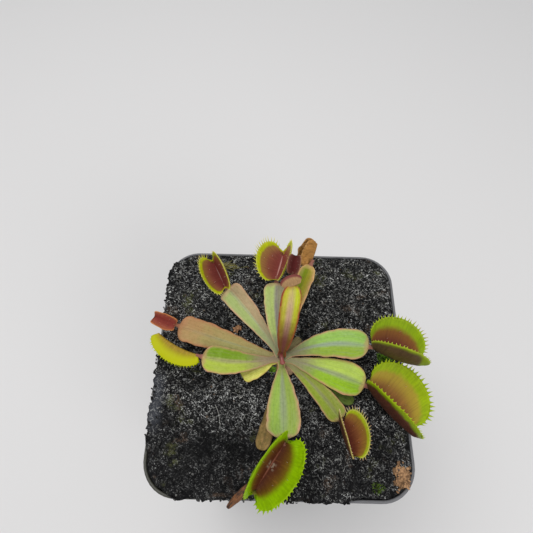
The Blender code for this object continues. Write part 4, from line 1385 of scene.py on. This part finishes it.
# %% Finish of the traps
def trap_paint(name, hinge, flesh, glow, rim, outer, outer_rim, tooth, rim_width=0.25, soft=0.14,
               outer_width=0.18, outer_soft=0.11, far_rim=0.0, crease_highlight=(176, 120, 110), veins=0.35,
               matt=0.0, red_tips=0.0, scar=0.0):
    """hinge, flesh and glow colour the inner face from the hinge outwards, up to the rim.

    far_rim widens the outer rim towards the hinge's far end. red_tips and scar are how strongly the far
    teeth redden and how strongly the middle of the hinge is scratched.
    """
    paint = Paint(f"{name}_trap", specular_ior_level=0.14)
    along, across, inner, inset = (paint.mark(word) for word in ("along", "across", "inner", "inset"))
    spot = paint.place()
    blotch = paint.noise(spot, 0.38, 4.0, 0.6)
    glands = paint.cells(spot, 3.2)
    grit = paint.noise(spot, 3.0, 3.0, 0.7)
    out = abs(across)
    fan = along * 15.0 + (along - 0.5) * out * 5.0
    lobe = across.rise(-0.01, 0.01)
    streak = paint.noise(paint.vector(fan * 1.6, out * 1.3, lobe * 9), 1.5, 4.0, 0.65, 0.25)
    line = paint.noise(paint.vector(fan * 4.5, out * 1.0, 2.0), 1.0, 2.0, 0.5)
    drift = inset + (blotch - 0.5) * 0.13 + (streak - 0.5) * 0.10
    deep = drift.rise(rim_width - soft, rim_width + soft)
    mid = drift.rise(rim_width + soft * 0.4, rim_width + soft + 0.38)
    near = (out + (blotch - 0.5) * 0.2 + (streak - 0.5) * 0.2).rise(0.62, 0.06)
    warm = paint.mix(mid, glow, flesh)
    dark = paint.mix(near, warm, hinge)
    veined = paint.mix(line.rise(0.52, 0.66) * veins, dark, scaled(flesh, 0.66))
    veined = paint.mix(streak.rise(0.56, 0.76) * veins, veined, scaled(flesh, 1.35))
    dusted = paint.mix(grit.rise(0.60, 0.72) * 0.22, veined, scaled(flesh, 1.5, 12))
    lime = paint.mix(streak.rise(0.35, 0.65), rim, scaled(rim, 1.12))
    lime = paint.mix(blotch.rise(0.55, 0.75) * 0.35, lime, scaled(rim, 0.86))
    inside = paint.mix(deep, lime, dusted)
    # Painted highlight: a pale line down the crease of the hinge, where the light glances off it.
    hinge_highlight = out.rise(0.08, 0.025) * along.rise(0.0, 0.08) * along.rise(1.0, 0.9)
    inside = paint.mix(hinge_highlight * 0.7, inside, crease_highlight)
    far = inset + (blotch - 0.5) * 0.12 + (streak - 0.5) * 0.06 - along.rise(0.62, 0.95) * far_rim
    far = far.rise(outer_width - outer_soft, outer_width + outer_soft)
    ribs = paint.mix(streak.rise(0.4, 0.7) * 0.4, outer, scaled(outer, 1.4))
    outside = paint.mix(far, outer_rim, ribs)
    colour = paint.mix(inner.rise(0.35, 0.65), outside, inside)
    scratch = paint.noise(spot, 0.9, 3.0, 0.7).rise(0.48, 0.58) * out.rise(0.22, 0.08)
    scratch = scratch * along.rise(0.40, 0.44) * along.rise(0.58, 0.52) * inner
    colour = paint.mix(scratch * scar, colour, (190, 170, 150))
    lit = paint.mix(inset.rise(0.07, 0.0) * 0.3, colour, tooth)
    rim_tooth = tuple((2 * a + b) / 3 for a, b in zip(rim, tooth))
    toothed = paint.mix(inset.rise(0.02, -0.005), lit, rim_tooth)
    tipped = paint.mix(inset.rise(-0.02, -0.12), toothed, tooth)
    tipped = paint.mix(inset.rise(-0.04, -0.12) * along.rise(0.35, 0.6) * red_tips, tipped, (150, 78, 60))
    paint.set("Base Color", paint.mix(inset.rise(1.5, 1.9), tipped, (212, 186, 170)))
    paint.set("Roughness", 0.38 + grit * 0.16 + matt + blotch * 0.08)
    paint.bump(streak * 0.8 + line * 0.5 - glands * 0.25 + grit * 0.3, (0.07 + matt * 0.4) * MM, 0.8)
    return paint


print("trap finish ready")

# %% Tints of the traps
# Hinge, flesh, glow next to the rim, rim, then outer face, outer rim, tip of a tooth.
TRAP_TINTS = {
    "leaf_back_left": (
        (112, 50, 46), (140, 78, 66), (144, 102, 54), (170, 178, 8),
        (134, 108, 48), (188, 174, 36), (230, 214, 150)),
    "leaf_back": (
        (122, 56, 50), (144, 84, 66), (154, 116, 62), (174, 182, 10),
        (142, 114, 40), (188, 182, 30), (234, 222, 150)),
    "leaf_small_trap": (
        (110, 50, 48), (112, 60, 56), (116, 68, 60), (124, 86, 66),
        (118, 84, 60), (124, 90, 66), (176, 130, 100)),
    "leaf_right": (
        (88, 36, 26), (106, 50, 38), (120, 76, 28), (118, 142, 0),
        (80, 62, 42), (126, 146, 0), (196, 208, 70)),
    "leaf_right_large": (
        (106, 60, 28), (138, 98, 42), (160, 140, 42), (132, 154, 0),
        (76, 42, 30), (124, 148, 0), (176, 194, 40)),
    "leaf_front_right": (
        (98, 44, 34), (140, 88, 52), (148, 112, 46), (160, 174, 30),
        (66, 38, 28), (168, 146, 60), (228, 190, 170)),
    "leaf_front": (
        (88, 42, 26), (136, 88, 44), (116, 96, 14), (126, 162, 0),
        (112, 104, 44), (116, 150, 4), (166, 194, 24)),
    "leaf_left": (
        (110, 70, 40), (120, 92, 44), (160, 150, 30), (166, 172, 0),
        (140, 114, 36), (170, 172, 0), (192, 202, 10)),
    "leaf_left_tan": (
        (156, 76, 68), (170, 94, 78), (172, 100, 72), (194, 122, 76),
        (162, 96, 58), (200, 130, 70), (196, 140, 90)),
    "leaf_young": (
        (140, 88, 76), (150, 104, 84), (150, 98, 78), (104, 42, 42),
        (148, 116, 80), (112, 54, 50), (130, 70, 58)),
    "leaf_dry_trap": (
        (96, 60, 34), (134, 90, 46), (150, 106, 56), (176, 134, 80),
        (158, 114, 62), (190, 148, 96), (150, 110, 70)),
}
# What differs from the usual widths and softness of the rims, painted highlight along the hinge, veins and
# roughness.
TRAP_SHAPES = {
    "leaf_back_left": dict(rim_width=0.20, soft=0.07, outer_width=0.5, crease_highlight=(214, 176, 168)),
    "leaf_back": dict(rim_width=0.19, soft=0.06, outer_width=0.6, crease_highlight=(206, 160, 150)),
    "leaf_small_trap": dict(rim_width=0.10, soft=0.05, crease_highlight=(206, 150, 144)),
    "leaf_right": dict(rim_width=0.27, soft=0.10, outer_width=0.07, outer_soft=0.08, far_rim=0.38, veins=0.25,
                       crease_highlight=(150, 110, 50), red_tips=0.8),
    "leaf_right_large": dict(rim_width=0.24, soft=0.08, outer_width=0.11, outer_soft=0.06, veins=0.25,
                             crease_highlight=(160, 130, 60)),
    "leaf_front_right": dict(rim_width=0.17, soft=0.06, outer_width=0.03, crease_highlight=(150, 80, 56), red_tips=0.5),
    "leaf_front": dict(rim_width=0.42, soft=0.13, outer_width=0.35, crease_highlight=(168, 106, 84), scar=0.6),
    "leaf_left": dict(rim_width=0.4, soft=0.2, outer_width=0.62, outer_soft=0.30),
    "leaf_left_tan": dict(rim_width=0.12, soft=0.06, crease_highlight=(204, 136, 126)),
    "leaf_young": dict(outer_width=0.24, veins=0.2),
    "leaf_dry_trap": dict(rim_width=0.05, outer_width=0.05, veins=0.9, matt=0.8),
}
print(len(TRAP_TINTS), "trap finishes")

# %% Combs and lobes
# Each comb: teeth on a lobe, length and width (mm), how slim (the power of the taper), how far the right
# and left lobes' teeth bend in, and the right lobe's share of the length.
COMBS = {
    "leaf_back_left": (21, 1.9, 0.50, 0.8, (0.0, 0.1), 0.4),
    "leaf_back": (23, 2.1, 0.50, 0.8, (0.0, 0.0), 0.4),
    "leaf_small_trap": (9, 0.4, 0.35, 0.9, (0.3, 0.3), 1.0),
    "leaf_right": (27, 1.45, 0.70, 1.0, (0.2, 0.1), 0.40),
    "leaf_right_large": (26, 1.6, 1.10, 1.1, (0.2, 0.2), 0.5),
    "leaf_front_right": (24, 1.9, 0.42, 0.75, (0.2, 0.1), 0.2),
    "leaf_front": (25, 1.3, 1.05, 1.1, (-0.3, 0.1), 0.45),
    "leaf_left": (22, 0.7, 0.60, 1.1, (0.15, 0.15), 1.0),
    "leaf_left_tan": (10, 0.4, 0.35, 0.9, (0.3, 0.3), 1.0),
    "leaf_young": (12, 0.4, 0.35, 0.9, (0.6, 0.6), 1.0),
    "leaf_dry_trap": (9, 0.6, 0.50, 0.9, (0.8, 0.8), 1.0),
}
# What differs from the usual thickness and bumps of a lobe, in millimetres.
LOBE_FORMS = {
    "leaf_dry_trap": dict(thick=0.7, rumple=1.5),
    "leaf_small_trap": dict(thick=0.42, rumple=0.15),
    "leaf_left_tan": dict(thick=0.42, rumple=0.3),
    "leaf_young": dict(thick=0.45, rumple=0.1),
    "leaf_right_large": dict(thick=0.6, rumple=0.3),
    "leaf_right": dict(thick=0.55, rumple=0.25),
    "leaf_front": dict(thick=0.6, rumple=0.3),
}
print("teeth in all:", 2 * sum(row[0] for row in COMBS.values()))


# %% Growing the leaves
def make_leaf(name):
    """One leaf: blade, neck, lobes, teeth and trigger hairs in a single piece, as it grew."""
    skin = Skin("along", "across", "inset", "inner")
    blade, seed = Blade(name), name_seed(name)
    trap = Trap(name, blade)
    blade_skin(skin, blade, name, **BLADE_FORMS.get(name, {}))
    lobe_skin(skin, trap, seed=seed, **LOBE_FORMS.get(name, {}))
    teeth_skin(skin, trap, *COMBS[name], np.random.default_rng(seed))
    if name not in POD_OFFSETS:
        trigger_skin(skin, trap)
    top = blade_paint(name, *BLADE_TINTS[name], **BLADE_SHAPES.get(name, {}))
    lobes = trap_paint(name, *TRAP_TINTS[name], **TRAP_SHAPES.get(name, {}))
    settle(skin.make(f"{name}_grown", top, lobes), name)


for name in BLADE_TINTS:
    make_leaf(name)

# %% [markdown]
# ## Crown and roots
#
# Under the leaves sits the rhizome, a short pale stem with dark roots that hang down into the peat. Only
# its top shows, between the leaf bases. A turned profile gives the bulb, and a ring carried down each
# root's path gives the roots, which nobody sees but which belong to the plant.

# %% The crown
# Each root's heading (degrees), reach from the crown's axis and the height it goes down to (mm).
ROOTS = ((20, 16, 62), (95, 20, 48), (170, 15, 70), (240, 18, 55), (310, 13, 78))


def tube(path, radii, sides=10):
    """A ring of points carried along a path (steps, 3), with a radius at each step."""
    ahead = unit(np.gradient(path, axis=0))
    guide = np.where(np.abs(ahead[:, 2:]) > 0.9, [[1.0, 0, 0]], [[0, 0, 1.0]])
    side = unit(np.cross(ahead, guide)) * radii[:, None]
    return ring_round(path, side, np.cross(ahead, side), sides)


def root_path(heading, reach, lowest, steps=24):
    """Steeply down from the bulb, outwards by a power of a sine, with a slow wave to the sides."""
    turn, share = math.radians(heading), np.linspace(0, 1, steps)
    out = reach * MM * np.sin(share * math.pi / 2) ** 1.5
    wave = 1.2 * MM * np.sin(share * 2 * math.pi)
    high = CROWN[2] - 2 * MM
    low = high - (high - lowest * MM) * share
    return np.column_stack([CROWN[0] + out * math.cos(turn) - wave * math.sin(turn),
                            CROWN[1] + out * math.sin(turn) + wave * math.cos(turn), low])


def make_crown():
    """A turned bulb and its roots in one skin, dark below and pale at the top."""
    paint = Paint("rhizome", 0.5)
    depth = paint.mark("depth")
    grain = paint.noise(paint.place((1, 1, 0.3)), 2.0, 4.0, 0.6)
    pale = paint.mix(grain.rise(0.35, 0.65), (150, 110, 84), (184, 150, 116))
    paint.set("Base Color", paint.mix(depth.rise(0.02, 0.12), pale, (40, 30, 26)))
    paint.bump(grain, 0.15 * MM)
    skin = Skin("depth")
    turn = np.linspace(0.05, math.pi - 0.05, 20)
    path = CROWN + np.column_stack([0 * turn, 0 * turn, 2.3 * MM * np.cos(turn) - 1.9 * MM])
    skin.add(tube(path, 2.5 * MM * np.sin(turn) ** 0.8, 20))
    for root in ROOTS:
        path = root_path(*root)
        skin.add(tube(path, 0.6 * MM * np.linspace(1, 0.35, len(path))),
                 depth=np.linspace(0.1, 1, len(path))[:, None])
    settle(skin.make("crown_finished", paint), "rhizome")


make_crown()

# %% [markdown]
# ### The next leaf
#
# A new leaf rises from the middle as a dark red hook, its trap still a folded bud at the tip.

# %% New leaf
def make_new_leaf():
    """A tube along a hook, which swells into the bud near its end."""
    paint = Paint("new_growth", 0.36, specular_ior_level=0.5)
    spot = paint.place()
    blotch = paint.noise(spot, 0.8, 3.0)
    bud = paint.mark("bud")
    red = paint.mix(blotch.rise(0.35, 0.7), (88, 30, 30), (122, 54, 50))
    paint.set("Base Color", paint.mix(bud.rise(0.25, 0.95) * 0.8, red, (146, 80, 72)))
    paint.bump(blotch, 0.05 * MM)
    share = np.linspace(0, 1, 26)
    turn = share * math.radians(158)
    path = CROWN + MM * np.column_stack([
        -0.5 + 0.9 * share, 0.6 - 2.0 * (1 - np.cos(turn)), 0.6 + 4.3 * np.sin(turn * 0.92) ** 0.8])
    radii = MM * (0.80 - 0.14 * share + 0.40 * np.exp(-((share - 0.86) / 0.10) ** 2))
    radii[-4:] *= np.array([0.9, 0.7, 0.45, 0.15])
    skin = Skin("bud")
    skin.add(tube(path, radii, 12), bud=share[:, None])
    settle(skin.make("new_leaf_grown", paint), "new_leaf")


make_new_leaf()

# %% [markdown]
# ## Old leaves, stubs and scraps
#
# Dead leaves lie flat on the peat, curled and thin, in straw, brown and a last dark green. They are the same
# blades, with more wave in them and a drier finish.

# %% Old leaves
def dry_paint(name, light, dark, spots, roughness=0.62):
    """Two tints in blotches along the veins, with dark spots and cracked edges."""
    paint = Paint(f"{name}_dry", specular_ior_level=0.35)
    along, across = paint.mark("along"), paint.mark("across")
    spot = paint.place()
    blotch = paint.noise(spot, 0.5, 4.0, 0.65)
    cells = paint.noise(spot, 2.6, 3.0, 0.7)
    streak = paint.noise(paint.vector(across * 10, along * 2.5, 0.5), 1.4, 3.0, 0.6)
    body = paint.mix((blotch * 0.6 + streak * 0.4).rise(0.38, 0.62), light, dark)
    edged = paint.mix(abs(across).rise(0.8, 1.0) * 0.6, body, spots)
    rib = abs(across).rise(0.14, 0.03) * 0.4
    paint.set("Base Color", paint.mix(cells.rise(0.58, 0.7) * 0.5 + rib, edged, spots))
    paint.set("Roughness", roughness + cells * 0.15)
    paint.bump(streak + cells * 0.6, 0.12 * MM)
    return paint


OLD_LEAVES = {  # light, dark, spots, then how far it waves and crinkles
    "old_leaf_1": ((222, 220, 116), (194, 194, 78), (176, 126, 80), 0.25, 0.9),
    "old_leaf_2": ((158, 126, 72), (108, 92, 42), (76, 58, 36), 0.35, 0.7),
    "old_leaf_3": ((98, 120, 36), (70, 90, 28), (60, 56, 28), 0.2, 0.3),
    "leaf_stub_1": ((140, 128, 86), (104, 92, 58), (70, 58, 40), 0.15, 0.25),
    "leaf_stub_2": ((150, 120, 90), (110, 84, 60), (80, 60, 44), 0.15, 0.25),
    "dry_scrap": ((132, 84, 46), (44, 30, 24), (20, 16, 14), 0.6, 0.9),
}


def make_old_leaf(name):
    """A blade with no trap, thinner and with its own waves."""
    light, dark, spots, wave, crinkle = OLD_LEAVES[name]
    skin = Skin("along", "across", "inner")
    blade_skin(skin, Blade(name), name, wave, crinkle, thick=0.45, rows=70, columns=22, necked=False)
    settle(skin.make(f"{name}_dried", dry_paint(name, light, dark, spots)), name)


for name in OLD_LEAVES:
    make_old_leaf(name)

# %% [markdown]
# ## Moss and bark
#
# Moss is a cushion of tiny leaves, so each tuft is a few hundred spikes pointing up and out of a low mound.
# Bark is a pile of small flat chips. Both are batches, like the crumbs.

# %% Moss
MOSS_LEAF = 0.16 * MM, 0.05 * MM  # half the width and half the thickness of a moss leaf


def moss_paint(name, deep, mid, bright):
    """From deep at the root of each tiny leaf to bright at the tip of a fresh one."""
    paint = Paint(f"{name}_leaves", 0.6, specular_ior_level=0.3)
    shade = paint.mark("shade")
    low = paint.mix(shade.rise(0.0, 0.5), deep, mid)
    paint.set("Base Color", paint.mix(shade.rise(0.5, 1.0), low, bright))
    return paint


def make_moss(name, number, *tints):
    """Spikes that start on a low mound over the node's box and lean outwards from its middle."""
    random = np.random.default_rng(name_seed(name))
    low, high = (np.array(corner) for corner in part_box(name))
    turn, out = random.uniform(0, 2 * math.pi, number), np.sqrt(random.uniform(0, 1, number))
    out = out * (1 + 0.25 * np.sin(turn * 3 + 1))
    flat = np.column_stack([np.cos(turn), np.sin(turn)]) * out[:, None]
    x, y = ((low + high)[:2] / 2 + flat * (high - low)[:2] / 2).T
    roots = np.column_stack([x, y, peat_height(x, y) - 0.1 * MM + (1 - out**2) * 0.25 * MM])
    ahead = unit(np.column_stack([flat * 0.9 + random.normal(0, 0.35, (number, 2)), np.ones(number)]))
    wide = unit(np.cross(ahead, random.normal(0, 1, (number, 3))))
    long, lean = random.uniform(0.45, 1.0, number) * MM, 0.3 * np.column_stack([flat, np.zeros(number)])
    made = spikes(roots, ahead, wide, long, *MOSS_LEAF, lean, rings=4, sides=4, power=0.8)
    skin = Skin("shade")
    reached = np.linspace(0.0, 0.5, 4)[None, :, None]
    skin.add(made, shade=reached + random.uniform(0, 0.5, (number, 1, 1)))
    settle(skin.make(f"{name}_tuft", moss_paint(name, *tints)), name)


FRESH_MOSS = (78, 104, 36), (126, 178, 50), (176, 226, 70)
OLD_MOSS = (46, 60, 24), (84, 108, 34), (120, 148, 48)
make_moss("moss_1", 150, *FRESH_MOSS)
make_moss("moss_2", 420, *FRESH_MOSS)
make_moss("moss_3", 130, *OLD_MOSS)

# %% Bark
def bark_paint(light, dark):
    """A grain of dark streaks over chips of differing shades."""
    paint = Paint("bark", 0.8, specular_ior_level=0.3)
    shade = paint.mark("shade")
    grain = paint.noise(paint.place((1.5, 0.4, 1.5), (0.4, 0.2, 0.8)), 1.6, 4.0, 0.7)
    mixed = paint.mix((shade * 0.6 + grain * 0.5).rise(0.25, 0.85), dark, light)
    paint.set("Base Color", paint.mix(grain.rise(0.6, 0.75) * 0.5, mixed, (66, 48, 36)))
    paint.bump(grain, 0.2 * MM)
    return paint


def make_bark(name, number, paint, spread=1.0):
    """Flat uneven chips heaped over the node's box."""
    random = np.random.default_rng(name_seed(name) + 3)
    low, high = (np.array(corner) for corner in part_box(name))
    flat = random.normal(0, 0.42, (number, 2)).clip(-1, 1) * spread
    place = (low + high)[None, :2] / 2 + flat * (high - low)[:2] / 2 * 0.85
    heap = random.uniform(0, 0.5, number) * (1 - np.abs(flat).max(axis=1))
    height = peat_height(*place.T) + (0.15 + heap) * MM
    radii = random.uniform([0.35, 0.2, 0.12], [1.0, 0.55, 0.3], (number, 3)) * MM
    skin = Skin("shade")
    made = balls(np.column_stack([place, height]), radii, random, 5, 8, 0.3)
    skin.add(made, shade=random.uniform(0, 1, (number, 1, 1)))
    settle(skin.make(f"{name}_crumbled", paint), name)


make_bark("bark_chip_1", 150, bark_paint((176, 136, 98), (112, 84, 58)), 1.5)
make_bark("bark_chip_2", 34, bark_paint((200, 150, 108), (136, 96, 68)))
